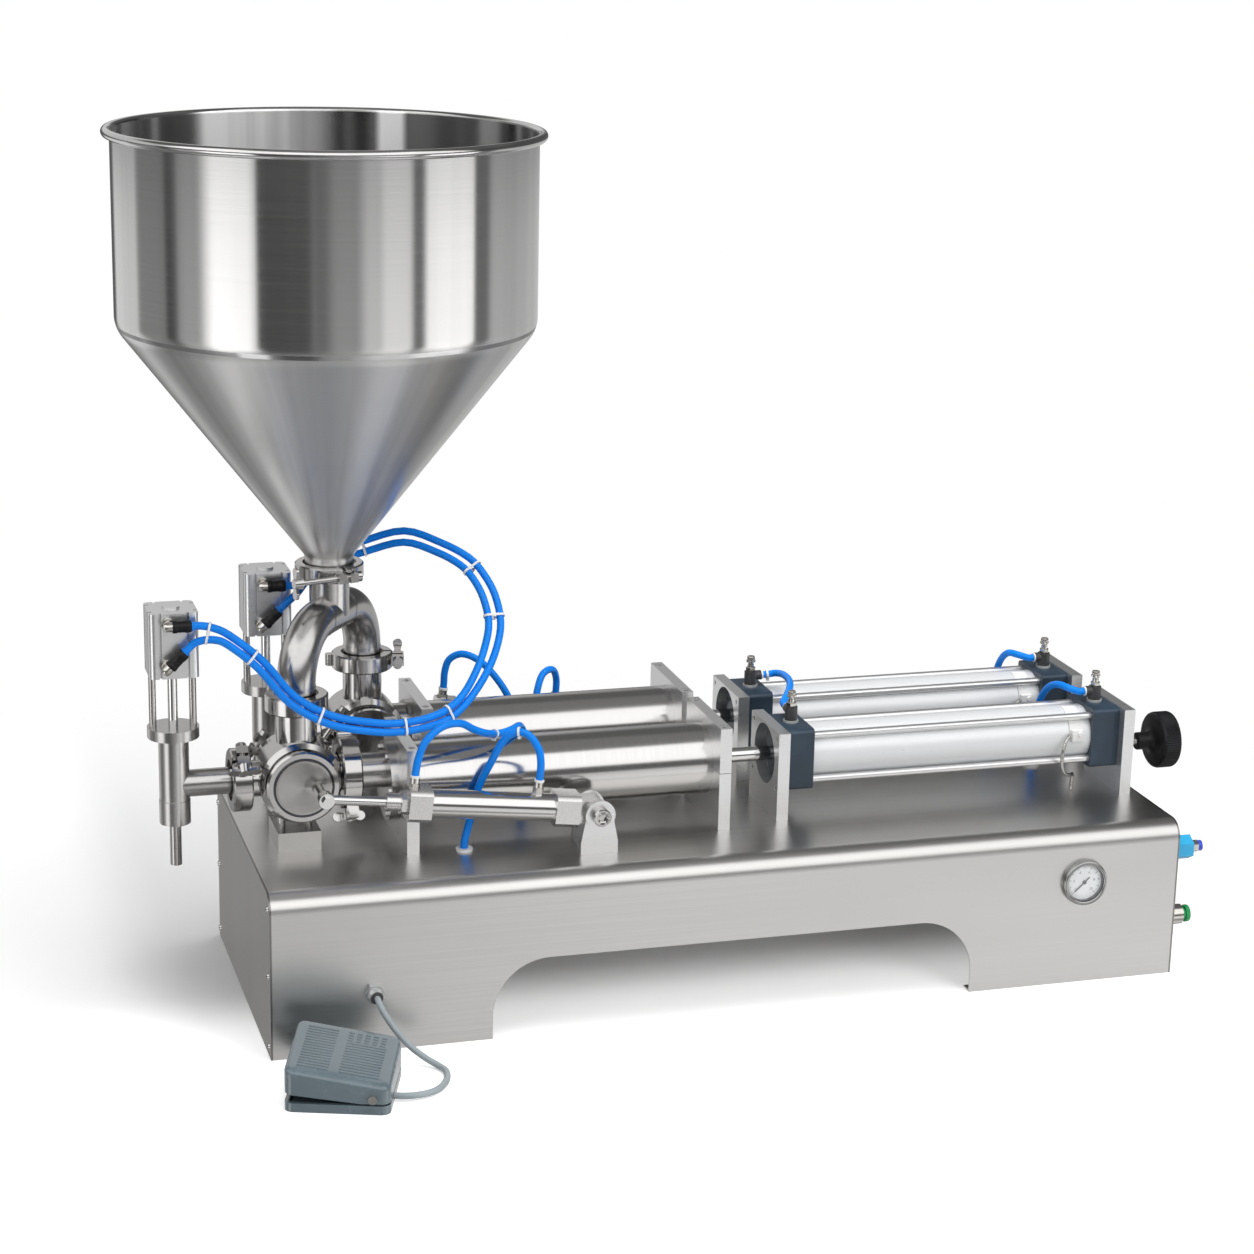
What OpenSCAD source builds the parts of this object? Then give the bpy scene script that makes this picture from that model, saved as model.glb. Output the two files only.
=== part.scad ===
// Pneumatic paste filling machine with two filling lines on one cabinet.
// Millimetres. X runs along the machine to the right, Y to the back, Z up.
// The origin is on the floor under the middle of the cabinet.
// A hopper feeds two rotary valves. Each valve sends paste from the hopper into
// a product cylinder and then out through a shut-off nozzle at the left end.

/* [Cabinet] */
// Length of the cabinet
base_l = 1000; // [990:2:1040]
// Depth of the cabinet
base_w = 350; // [350:2:380]
// Height of the cabinet
base_h = 175; // [165:1:185]
// Thickness of the cabinet sheet and of its end panels
sheet_t = 2; // [1.5:0.1:3]
// Bend radius of the front top edge
edge_r = 20; // [8:1:26]
// Length of the arch cut under the front and the back
arch_l = 530; // [400:5:560]
// Height of the arch
arch_h = 85; // [60:1:100]
// Corner radius of the arch
arch_r = 60; // [30:1:60]
// Width of the turned-in lip that stands on the floor
lip_w = 15; // [10:1:30]

/* [Filling lines] */
// Place of the front line from the middle of the cabinet
front_y = -25; // [-30:1:-22]
// Distance between the two lines
line_gap = 138; // [134:1:139]
// Height of the cylinders above the cabinet top
cyl_rise = 63; // [58:1:70]
// Left face of the first plate of the front line
front_start_x = -341; // [-345:1:-338]
// How much further right the rear line starts
rear_start_shift = 45; // [40:1:50]
// Right face of the plates that end the product cylinders
barrel_end_x = 11; // [5:1:20]
// Thickness of every aluminium plate
plate_t = 13; // [10:0.5:16]
// Width of the plates that hold the product cylinders
barrel_plate_w = 120; // [110:1:122]
// Height of the plates that hold the product cylinders
barrel_plate_h = 113; // [108:1:120]
// Width of the plates that hold the air cylinders
air_plate_w = 92; // [84:1:100]
// Height of the plates that hold the air cylinders
air_plate_h = 98; // [95:1:105]

/* [Product cylinders] */
// Outside diameter of the product cylinder
barrel_d = 78; // [74:1:82]
// Bore of the product cylinder
barrel_bore = 70; // [64:1:71]
// Thickness of the product piston
piston_t = 30; // [20:1:34]
// Diameter of the piston rod
rod_d = 16; // [12:1:20]
// Travel of the pistons
stroke = 240; // [200:5:240]

/* [Air cylinders] */
// Clear rod length between the two kinds of cylinder
rod_gap = 58; // [50:1:70]
// Side of the square cylinder cap
cap_side = 68; // [66:1:72]
// Thickness of a cylinder cap
cap_t = 32; // [28:1:36]
// Length of the air barrel between its caps
air_l = 330; // [320:2:340]
// Outside diameter of the air barrel
air_d = 60; // [57:1:62]
// Bore of the air barrel
air_bore = 54; // [50:1:55]
// Thickness of the air piston
air_piston_t = 20; // [16:1:24]
// Distance between neighbouring tie rods
tie_pitch = 50; // [49:1:52]
// Diameter of a tie rod
tie_d = 8; // [6:0.5:9]

/* [Hopper] */
// Outside radius of the hopper
hopper_r = 215; // [200:1:225]
// Height of the hopper rim above the floor
rim_z = 905; // [880:1:920]
// Height where the cylinder of the hopper meets its cone
cone_top_z = 711; // [690:1:730]
// Height where the cone meets the neck
neck_top_z = 468; // [466:1:472]
// Outside diameter of the hopper neck
neck_d = 51; // [48:1:52]
// Thickness of the hopper sheet
hopper_t = 1.5; // [1:0.1:3]
// Height of the joint between hopper and manifold
hopper_joint_z = 452; // [450:1:454]

/* [Manifold] */
// Outside diameter of the manifold tube
pipe_d = 40; // [36:1:42]
// Wall of the manifold tube
pipe_t = 1.5; // [1.2:0.1:3]
// Height of the level run of the manifold
run_z = 404; // [400:1:408]
// Bend radius of the elbows
elbow_r = 57; // [50:1:60]
// Height of the joints between manifold and valves
leg_joint_z = 331; // [329:1:334]

/* [Valves] */
// Place of the front valve along the machine
front_valve_x = -445; // [-448:1:-442]
// How much further right the rear valve stands
valve_shift = 96; // [92:1:98]
// Height of the valves above the cabinet top
valve_rise = 75; // [73:1:78]
// Radius of the valve body
body_r = 43; // [40:1:44]
// Length of the valve body
body_l = 60; // [54:1:62]
// Radius of the turning core
core_r = 29; // [27:0.5:30]
// Radius of the ring that holds the core
ring_r = 38.5; // [36:0.5:40]
// Distance from the valve axis to the joint with the nozzle
out_reach = 60; // [57:1:64]
// Distance of the crank pin from the valve axis
crank_r = 16; // [14:0.5:18]
// Angle of the crank pin below the axis at rest
crank_deg = 5; // [0:1:8]

/* [Nozzles] */
// Distance from the nozzle axis to its joint, front line
front_nozzle_reach = 67; // [62:1:72]
// Distance from the nozzle axis to its joint, rear line
rear_nozzle_reach = 45; // [43:1:50]
// Outside diameter of the nozzle tube
nozzle_d = 31; // [29:0.5:34]
// Outside diameter of the outlet tip
tip_d = 12; // [10:0.5:14]
// Bore of the outlet tip
tip_bore = 8; // [6:0.5:9]
// Length of the outlet tip
tip_l = 46; // [30:1:50]
// Width of the nozzle cylinder
compact_w = 54; // [50:1:56]
// Height of the nozzle cylinder
compact_h = 68; // [60:1:68]
// Lift of the nozzle plunger
plunger_lift = 20; // [12:1:24]

/* [Valve actuators] */
// Distance from the line to the actuator
act_out = 79; // [79:1:83]
// Place of the pivot right of the valve axis
pivot_dx = 300; // [297:1:306]
// Height of the pivot above the cabinet top
pivot_rise = 42; // [36:1:45]
// Outside diameter of the actuator tube
act_d = 30; // [26:1:32]
// Diameter of the actuator rod
act_rod_d = 10; // [8:1:12]

/* [Stroke handwheel] */
// Diameter of the handwheel
wheel_d = 64; // [50:1:70]
// Diameter of the stroke screw
screw_d = 8; // [7:1:10]
// Distance of the stroke screw below the axis of the cylinder
screw_drop = 18; // [16:1:18]

/* [Foot pedal] */
// Length of the pedal
pedal_l = 104; // [96:1:110]
// Depth of the pedal
pedal_w = 100; // [92:1:104]
// Thickness of the pedal walls
pedal_t = 3; // [2:0.5:4]
// Corner radius of the pedal seen from above
pedal_corner = 9; // [6:1:12]
// Diameter of the pedal cord
cord_d = 6.6; // [6:0.1:7]

/* [Fits] */
// Radial clearance of running fits
fit = 0.05; // [0.02:0.01:0.1]
// Radial clearance of parts that are clamped or bolted together
seat = 0.05; // [0.02:0.01:0.2]
// Gap left ahead of a stop
stop_gap = 0.5; // [0.3:0.1:1]

/* [Hidden] */
$fn = 64;

// Colours of the finishes
steel = [0.72, 0.72, 0.71];
polished = [0.8, 0.8, 0.81];
alu = [0.78, 0.79, 0.8];
navy = [0.18, 0.24, 0.3];
black = [0.08, 0.08, 0.09];
nickel = [0.7, 0.68, 0.64];
hose_blue = [0.04, 0.47, 0.9];

// Places that follow from the sizes above. Index 0 is the front line, 1 the rear.
lines = [0, 1];
cyl_z = base_h + cyl_rise;
valve_z = base_h + valve_rise;
cap_r = cap_side / 2;
back_edge_r = 5;
function line_y(s) = front_y + s * line_gap;
function start_x(s) = front_start_x + s * rear_start_shift;
function valve_x(s) = front_valve_x + s * valve_shift;
function nozzle_x(s) = valve_x(s) - out_reach
    - (s == 0 ? front_nozzle_reach : rear_nozzle_reach);
air_start_x = barrel_end_x + rod_gap;
cap_x = air_start_x + plate_t;
air_x = cap_x + cap_t;
air_end_x = air_x + air_l;
end_plate_x = air_end_x + cap_t;
hopper_x = (valve_x(0) + valve_x(1)) / 2;
hopper_y = (line_y(0) + line_y(1)) / 2;

// Ferrules are the flanged tube ends that a clamp ring holds together
ferrule_t = 3;
ferrule_r = 25.5;
neck_ferrule_r = 32;
port_r = 19;
port_bore_r = 16.5;
spigot_l = 8;
head_flange_r = 42;
head_flange_t = 12;
rear_flange_t = 6;
head_bolt_r = 36;
bush_r = 27;
bush_out = 7;
bush_in = 20;

function sum_to(v, n) = n < 0 ? 0 : v[n] + sum_to(v, n - 1);
function unit(v) = v / norm(v);

// Tube through points chosen by hand: a smooth curve through the points, cut
// into even pieces, with a ring of corners square to the curve at each one.
function between(a, b, c, d, t) = 0.5 * (2 * b + (c - a) * t
    + (2 * a - 5 * b + 4 * c - d) * t * t
    + (3 * b - a - 3 * c + d) * t * t * t);
function smooth(p, n) = let (last = len(p) - 1) concat([for (i = [0 : last - 1])
    for (k = [0 : n - 1]) between(p[max(i - 1, 0)], p[i], p[i + 1],
    p[min(i + 2, last)], k / n)], [p[last]]);
function heading(q, i) = unit(q[min(i + 1, len(q) - 1)] - q[max(i - 1, 0)]);
function carry(v, t) = unit(v - (v * t) * t);
function sides(q, i) = i == 0
    ? [carry(abs(heading(q, 0)[2]) > 0.9 ? [1, 0, 0] : [0, 0, 1], heading(q, 0))]
    : let (s = sides(q, i - 1)) concat(s, [carry(s[i - 1], heading(q, i))]);

module tube_along(points, d, n, corners = 8) {
    q = smooth(points, n);
    last = len(q) - 1;
    up = sides(q, last);
    ring = [for (i = [0 : last]) for (k = [0 : corners - 1])
        let (t = heading(q, i), w = cross(t, up[i]), a = 360 * k / corners)
        q[i] + d / 2 * (cos(a) * up[i] + sin(a) * w)];
    walls = [for (i = [0 : last - 1]) for (k = [0 : corners - 1])
        let (a = i * corners + k, b = i * corners + (k + 1) % corners)
        [a, a + corners, b + corners, b]];
    start = [for (k = [0 : corners - 1]) k];
    end = [for (k = [corners - 1 : -1 : 0]) last * corners + k];
    polyhedron(points = ring, faces = concat([start], walls, [end]), convexity = 6);
}

// Helpers that lay a cylinder along X or Y, starting at the given place
module along_x(x, y, z, r, l) translate([x, y, z]) rotate([0, 90, 0]) cylinder(r = r, h = l);
module along_y(x, y, z, r, l) translate([x, y, z]) rotate([-90, 0, 0]) cylinder(r = r, h = l);
module block(x0, x1, y0, y1, z0, z1) translate([x0, y0, z0]) cube([x1 - x0, y1 - y0, z1 - z0]);

// Outline of the cabinet seen from its end, with bent top edges
module end_outline(inset) {
    w = base_w - 2 * inset;
    h = base_h - inset;
    rf = edge_r - inset;
    rb = back_edge_r - inset;
    translate([-w / 2, 0]) square([w, h - rf]);
    translate([-w / 2 + rf, 0]) square([w - rf - rb, h]);
    translate([0, 0]) square([w / 2, h - rb]);
    translate([-w / 2 + rf, h - rf]) circle(r = rf);
    translate([w / 2 - rb, h - rb]) circle(r = rb);
}
module lengthwise(x0, x1) translate([x0, 0, 0]) rotate([90, 0, 90]) linear_extrude(x1 - x0) children();

arch_x = -5;
gauge_in = 112;
gauge_x = base_l / 2 - gauge_in;
gauge_z = 116;
gauge_r = 25;
gland_x = -394;
gland_z = 63;
gland_r = 8;
hose_d = 8;
grommet_r = 6.5;
// Places on the cabinet top where air hoses go inside
table_holes = [[-280, -83], [-186, 44], [-163, 161], [-143, 161], [420, 44], [420, 161]];
cover_l = base_l - 2 * sheet_t;

module arch_outline() {
    square_l = arch_l / 2;
    translate([-square_l, -1]) square([arch_l, arch_h - arch_r + 1]);
    translate([-square_l + arch_r, -1]) square([arch_l - 2 * arch_r, arch_h + 1]);
    for (e = [-1, 1]) translate([e * (square_l - arch_r), arch_h - arch_r]) circle(r = arch_r);
}

module base_cover() color(steel) difference() {
    union() {
        difference() {
            lengthwise(-cover_l / 2, cover_l / 2) end_outline(0);
            lengthwise(-cover_l / 2 - 1, cover_l / 2 + 1) union() {
                end_outline(sheet_t);
                translate([sheet_t - base_w / 2, -1]) square([base_w - 2 * sheet_t, 20]);
            }
        }
        for (e = [-1, 1]) translate([-cover_l / 2, e > 0 ? base_w / 2 - lip_w : -base_w / 2, 0])
            cube([cover_l, lip_w, sheet_t]);
    }
    translate([arch_x, base_w, 0]) rotate([90, 0, 0]) linear_extrude(2 * base_w) arch_outline();
    for (h = table_holes) translate([h[0], h[1], base_h - 10]) cylinder(r = grommet_r, h = 20);
    along_y(gauge_x, -base_w / 2 - 1, gauge_z, gauge_r - 3 + seat, 10);
    along_y(gland_x, -base_w / 2 - 1, gland_z, gland_r, 10);
}

inlet_y = 25 - base_w / 2;
inlet_z = 137;
button_z = 58;
button_r = 9;
screw_heights = [12, base_h / 2 + 0.5, base_h - 15];
screw_in = 9;
screw_r = 2;

module end_panels() color(steel) difference() {
    for (e = [-1, 1]) lengthwise(e > 0 ? cover_l / 2 : -base_l / 2, e > 0 ? base_l / 2 : -cover_l / 2)
        end_outline(0);
    for (e = [-1, 1]) for (f = [-1, 1]) for (z = screw_heights)
        along_x(e * base_l / 2 - 5, f * (base_w / 2 - screw_in), z, screw_r + seat, 10);
    along_x(base_l / 2 - 5, inlet_y, inlet_z, 8, 10);
    along_x(base_l / 2 - 5, inlet_y, button_z, button_r, 10);
}

// Button-head screws with a short shank and a clip nut behind the panel
module panel_screws() color(polished)
    for (e = [-1, 1]) for (f = [-1, 1]) for (z = screw_heights)
        translate([e * base_l / 2, f * (base_w / 2 - screw_in), z]) rotate([0, e * 90, 0]) {
            difference() {
                cylinder(r1 = 4, r2 = 2.6, h = 2);
                translate([0, 0, 1]) cylinder(r = 1.5, h = 2, $fn = 6);
            }
            translate([0, 0, -sheet_t - 5]) cylinder(r = screw_r, h = sheet_t + 5);
            translate([0, 0, -sheet_t - 3]) cylinder(r = 4.5, h = 3, $fn = 6);
        }

// Bank of air valves hanging under the cabinet top
bank_x = -60;
bank_l = 150;
bank_w = 50;
bank_h = 24;
bank_y = -30;
bank_pitch = 34;
slice_l = 24;
slice_w = 38;
slice_h = 38;
bank_port_r = 6;
bank_port_l = 12;
module control_valves() color(alu) {
    top = base_h - sheet_t;
    block(bank_x, bank_x + bank_l, bank_y, bank_y + bank_w, top - bank_h, top);
    for (k = [0 : 3]) translate([bank_x + slice_l / 2 + bank_pitch * k, 0, 0]) {
        block(0, slice_l, bank_y + (bank_w - slice_w) / 2, bank_y + (bank_w + slice_w) / 2,
            top - bank_h - slice_h, top - bank_h);
        along_y(slice_l / 2, bank_y - bank_port_l, top - bank_h / 2, bank_port_r, bank_port_l);
    }
}

// Plates that hold the product cylinder: a lower cradle and an upper cap,
// parted on the axis of the cylinder
plate_screw_y = 50;
module barrel_plates_at(x, y, low, high) difference() {
    block(x, x + plate_t, y - barrel_plate_w / 2, y + barrel_plate_w / 2, low, high);
    along_x(x - 1, y, cyl_z, barrel_d / 2 + seat, plate_t + 2);
    for (e = [-1, 1]) translate([x + plate_t / 2, y + e * plate_screw_y, base_h + barrel_plate_h - 6])
        cylinder(r = 4, h = 10);
}
split_gap = 0.6;
module barrel_cradles() color(alu) for (s = lines) for (x = [start_x(s), barrel_end_x - plate_t])
    barrel_plates_at(x, line_y(s), base_h, cyl_z);
module barrel_caps() color(alu) for (s = lines) for (x = [start_x(s), barrel_end_x - plate_t])
    barrel_plates_at(x, line_y(s), cyl_z + split_gap, base_h + barrel_plate_h);

// Plates that hold the air cylinder: the left one has a bore that the piston
// rod comes out of, the right one has a bore for the stroke screw
front_bore_r = 33;
dome_r = 10.5;
module air_plates() color(alu) for (s = lines) {
    y = line_y(s);
    difference() {
        block(air_start_x, cap_x, y - air_plate_w / 2, y + air_plate_w / 2, base_h, base_h + air_plate_h);
        along_x(air_start_x - 1, y, cyl_z, front_bore_r, plate_t + 2);
        for (a = [-1, 1]) for (b = [-1, 1])
            along_x(air_start_x - 1, y + a * 38, cyl_z + b * 28, 2.5, 7);
    }
    difference() {
        block(end_plate_x, end_plate_x + plate_t, y - air_plate_w / 2, y + air_plate_w / 2,
            base_h, base_h + air_plate_h);
        if (s == 0) along_x(end_plate_x - 1, y, cyl_z - screw_drop, screw_d / 2 + fit, plate_t + 2);
        for (a = [-1, 1]) along_x(end_plate_x + plate_t - 6, y + a * 38, base_h + 15, 2.5, 7);
    }
    if (s == 0) intersection() {
        translate([end_plate_x + plate_t - 3, y, base_h + dome_r + 12]) sphere(r = dome_r);
        block(end_plate_x + 2, end_plate_x + 40, y - 20, y + 20, base_h, base_h + 60);
    }
    if (s == 1) along_x(end_plate_x + plate_t - 1, y, cyl_z, 12, 9);
}

module product_barrels() color(polished) for (s = lines) difference() {
    along_x(start_x(s), line_y(s), cyl_z, barrel_d / 2, barrel_end_x - start_x(s));
    along_x(start_x(s) - 1, line_y(s), cyl_z, barrel_bore / 2, barrel_end_x - start_x(s) + 2);
}

// Left closure of the product cylinder. The front one carries a spool that
// reaches the clamp beside the valve, the rear one meets the valve directly.
front_port_x = valve_x(0) + 53;
rear_port_x = start_x(1) - rear_flange_t;
module barrel_heads() color(polished) for (s = lines) {
    flange = s == 0 ? head_flange_t : rear_flange_t;
    face = s == 0 ? front_port_x : rear_port_x;
    difference() {
        union() {
            along_x(start_x(s) - flange, line_y(s), cyl_z, head_flange_r, flange);
            along_x(start_x(s) - 1, line_y(s), cyl_z, barrel_bore / 2 - seat, spigot_l + 1);
            if (s == 0) along_x(face, line_y(s), valve_z, port_r, start_x(s) - flange - face + 1);
            if (s == 0) along_x(face, line_y(s), valve_z, ferrule_r, ferrule_t);
            if (s == 0) for (a = [30 : 60 : 330])
                translate([start_x(s) - flange, line_y(s), cyl_z]) rotate([a, 0, 0])
                    translate([0, 0, head_bolt_r]) rotate([0, -90, 0]) cylinder(r = 3.5, h = 3, $fn = 6);
        }
        along_x(face - 1, line_y(s), valve_z, port_bore_r, start_x(s) + spigot_l - face + 2);
    }
}

// Bush that closes the right end of the product cylinder and guides the rod
module rod_bushes() color(polished) for (s = lines) difference() {
    union() {
        along_x(barrel_end_x - bush_in, line_y(s), cyl_z, barrel_bore / 2 - seat, bush_in);
        along_x(barrel_end_x, line_y(s), cyl_z, bush_r, bush_out);
        along_x(barrel_end_x, line_y(s), cyl_z, rod_d / 2 + 6, bush_out + 4);
    }
    along_x(barrel_end_x - bush_in - 1, line_y(s), cyl_z, rod_d / 2 + fit, bush_in + bush_out + 6);
}

// Square caps of the air cylinders with softened long edges
module cap_shape(x) translate([x, 0, 0]) rotate([90, 0, 90]) linear_extrude(cap_t) {
    r = 5;
    square([cap_side, cap_side - 2 * r], center = true);
    square([cap_side - 2 * r, cap_side], center = true);
    for (a = [-1, 1]) for (b = [-1, 1]) translate([a * (cap_r - r), b * (cap_r - r)]) circle(r = r);
}
gland_boss_r = 16;
module air_caps() color(navy) for (s = lines) {
    translate([0, line_y(s), cyl_z]) difference() {
        union() {
            cap_shape(cap_x);
            along_x(cap_x - 6, 0, 0, gland_boss_r, 7);
        }
        along_x(cap_x - 8, 0, 0, rod_d / 2 + fit, cap_t + 10);
        translate([cap_x + cap_t / 2, 0, cap_r - 5]) cylinder(r = 4, h = 10);
    }
    translate([0, line_y(s), cyl_z]) difference() {
        cap_shape(air_end_x);
        if (s == 0) along_x(air_end_x - 1, 0, -screw_drop, screw_d / 2 + fit, cap_t + 2);
        translate([air_end_x + cap_t / 2, 0, cap_r - 5]) cylinder(r = 4, h = 10);
    }
}

module air_barrels() color(alu) for (s = lines) difference() {
    along_x(air_x, line_y(s), cyl_z, air_d / 2, air_l);
    along_x(air_x - 1, line_y(s), cyl_z, air_bore / 2, air_l + 2);
}

module tie_rods() color(polished) for (s = lines) for (a = [-1, 1]) for (b = [-1, 1])
    along_x(air_x, line_y(s) + a * tie_pitch / 2, cyl_z + b * tie_pitch / 2, tie_d / 2, air_l);

// Product piston and air piston of one line, both fixed on the rod
piston_gap = 3;
air_piston_gap = 4;
seal_w = 4;
seal_depth = 4;
function piston_x(s) = start_x(s) + spigot_l + piston_gap;
air_piston_x = air_x + air_piston_gap;
function seal_places(x, t) = [x + t * 0.22 - seal_w / 2, x + t * 0.78 - seal_w / 2];
module piston(x, s, bore, t) difference() {
    along_x(x, line_y(s), cyl_z, bore / 2 - 2 * fit, t);
    along_x(x - 1, line_y(s), cyl_z, rod_d / 2, t + 2);
    for (g = seal_places(x, t)) difference() {
        along_x(g, line_y(s), cyl_z, bore, seal_w);
        along_x(g - 1, line_y(s), cyl_z, bore / 2 - seal_depth, seal_w + 2);
    }
}
module pistons(s) color([0.92, 0.92, 0.9]) {
    piston(piston_x(s), s, barrel_bore, piston_t);
    piston(air_piston_x, s, air_bore, air_piston_t);
}
module front_pistons() pistons(0);
module rear_pistons() pistons(1);
module piston_seals(s) color(black)
    for (p = [[piston_x(s), barrel_bore, piston_t], [air_piston_x, air_bore, air_piston_t]])
        for (g = seal_places(p[0], p[2])) difference() {
            along_x(g + seat, line_y(s), cyl_z, p[1] / 2 - fit, seal_w - 2 * seat);
            along_x(g - 1, line_y(s), cyl_z, p[1] / 2 - seal_depth + seat, seal_w + 2);
        }
module front_piston_seals() piston_seals(0);
module rear_piston_seals() piston_seals(1);
module piston_rod(s) color(polished)
    along_x(piston_x(s), line_y(s), cyl_z, rod_d / 2, air_piston_x + air_piston_t - piston_x(s));
module front_piston_rod() piston_rod(0);
module rear_piston_rod() piston_rod(1);

// Flow controllers: a black body on each cap port with a side outlet for the
// hose and a nickel screw knob on top
ctrl_r = 7;
ctrl_h = 17;
ctrl_out = 12;
ctrl_turn = [[90, 180], [0, 180]];
function ctrl_x(e) = e == 0 ? cap_x + cap_t / 2 : air_end_x + cap_t / 2;
cap_top = cyl_z + cap_r;
module flow_controllers() for (s = lines) for (e = [0, 1])
    translate([ctrl_x(e), line_y(s), cap_top]) {
        color(black) difference() {
            union() {
                translate([0, 0, 1.5]) cylinder(r = ctrl_r, h = ctrl_h - 1.5);
                rotate([0, 90, ctrl_turn[s][e]]) translate([-12, 0, 0]) cylinder(r = 5.5, h = ctrl_out);
                translate([0, 0, -5]) cylinder(r = 4 - seat, h = 8);
                cylinder(r = ctrl_r + 1.5, h = 2);
            }
            translate([0, 0, 6]) cylinder(r = 3 + fit, h = ctrl_h);
        }
    }
module flow_knob(s, e) color(nickel) translate([ctrl_x(e), line_y(s), cap_top + 6 + fit]) {
    cylinder(r = 3, h = ctrl_h - 3);
    translate([0, 0, ctrl_h - 5]) cylinder(r = 5.6, h = 4, $fn = 6);
    translate([0, 0, ctrl_h - 1.5]) cylinder(r = 3.6, h = 7);
    translate([0, 0, ctrl_h + 5]) cylinder(r = 5.2, h = 2.5);
    translate([0, 0, ctrl_h + 7]) cylinder(r = 4.4, h = 5);
}
module front_left_knob() flow_knob(0, 0);
module front_right_knob() flow_knob(0, 1);
module rear_left_knob() flow_knob(1, 0);
module rear_right_knob() flow_knob(1, 1);

// Piston position sensors: a strap over the front of the barrel and a steel
// sheathed lead that hangs beside the barrel and goes down to the cabinet top
sensor_x = air_end_x - 18;
strap_t = 1.1;
lead_d = 4;
lead_points = [[-6, -32, 5], [-12, -35, 4], [-18, -38, -8], [-19, -38, -24], [-14, -35, -37],
    [-4, -29, -42], [2, -22, -44], [4, -18, -52], [4, -17, -60], [4, -17, -63.2]];
module position_sensors() for (s = lines) translate([sensor_x, line_y(s), cyl_z]) {
    color([0.9, 0.9, 0.9]) intersection() {
        difference() {
            along_x(-8, 0, 0, air_d / 2 + seat + strap_t, 16);
            along_x(-9, 0, 0, air_d / 2 + seat, 18);
        }
        translate([-10, -air_d, -2]) cube([20, air_d - 4, air_d]);
    }
    color([0.9, 0.9, 0.9]) intersection() {
        block(-7, 7, -air_d / 2 - 5, -air_d / 2 + 3, -2, 12);
        difference() {
            along_x(-8, 0, 0, air_d, 16);
            along_x(-9, 0, 0, air_d / 2 + seat, 18);
        }
    }
    color(steel) tube_along([for (q = lead_points) [q[0], q[1], max(q[2], base_h - cyl_z)]], lead_d, 1);
}

// Hopper: rolled rim, straight wall, cone and neck with its ferrule
rim_bead_r = 5;
cone_slope = (hopper_r - neck_d / 2) / (cone_top_z - neck_top_z);
bend_drop = 9;
module hopper() color(steel) translate([hopper_x, hopper_y, 0]) rotate_extrude($fn = 160) {
    polygon([
        [neck_d / 2, hopper_joint_z], [neck_ferrule_r, hopper_joint_z],
        [neck_ferrule_r, hopper_joint_z + ferrule_t], [neck_d / 2, hopper_joint_z + ferrule_t],
        [neck_d / 2, neck_top_z], [hopper_r - bend_drop * cone_slope, cone_top_z - bend_drop],
        [hopper_r - 2, cone_top_z + 1], [hopper_r, cone_top_z + bend_drop], [hopper_r, rim_z],
        [hopper_r - hopper_t, rim_z], [hopper_r - hopper_t, cone_top_z + bend_drop],
        [hopper_r - hopper_t - 2, cone_top_z + 1 + 0.6],
        [hopper_r - hopper_t - bend_drop * cone_slope - 0.4, cone_top_z - bend_drop + 0.8],
        [neck_d / 2 - hopper_t, neck_top_z + 0.8], [neck_d / 2 - hopper_t, hopper_joint_z]]);
    translate([hopper_r + rim_bead_r - hopper_t, rim_z]) circle(r = rim_bead_r, $fn = 24);
}

// Clamp ring round a pair of ferrules, with a hinge on one side and a swing
// bolt with a wing nut on the other. Its axis is Z and its joint is at zero.
module clamp_ring(r_out, w, r_flange, r_tube, bolt_l = 34, wing_turn = 0) {
    grip = ferrule_t + 0.1;
    nut_y = bolt_l - 23;
    difference() {
        rotate_extrude() polygon([
            [r_tube + 2.5, -w / 2], [r_out - 1.5, -w / 2], [r_out, -w / 2 + 1.5],
            [r_out, w / 2 - 1.5], [r_out - 1.5, w / 2], [r_tube + 2.5, w / 2],
            [r_tube + 2.5, grip], [r_flange + 0.1, grip],
            [r_flange + 0.1, -grip], [r_tube + 2.5, -grip]]);
        translate([r_tube, -2, -w]) cube([r_out, 4, 2 * w]);
    }
    for (e = [-1, 1]) translate([r_out - 3, e > 0 ? 2 : -11, -w * 0.3]) cube([15, 9, w * 0.6]);
    translate([r_out + 6, -14, 0]) rotate([-90, 0, 0]) cylinder(r = 3, h = bolt_l, $fn = 24);
    translate([r_out + 6, -16, 0]) rotate([-90, 0, 0]) cylinder(r = 5.5, h = 5, $fn = 24);
    translate([r_out + 6, nut_y, 0]) rotate([-90, 0, 0]) cylinder(r1 = 6.5, r2 = 5, h = 9, $fn = 24);
    for (e = [0, 180]) translate([r_out + 6, nut_y + 6, 0]) rotate([0, e + wing_turn, 0]) rotate([90, 0, 0])
        translate([0, 0, -2]) linear_extrude(3) {
            translate([0, 12]) circle(r = 5, $fn = 24);
            polygon([[-3, 3], [3, 3], [5, 12], [-5, 12]]);
        }
    translate([-r_out - 2, 0, -w * 0.35]) cylinder(r = 5, h = w * 0.7, $fn = 24);
}
clamp_w = 20;
clamp_r = 33;
module hopper_clamp() color(polished) translate([hopper_x, hopper_y, hopper_joint_z]) rotate([0, 0, -75])
    mirror([0, 1, 0]) clamp_ring(36, 16, neck_ferrule_r, neck_d / 2, 74);

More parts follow.
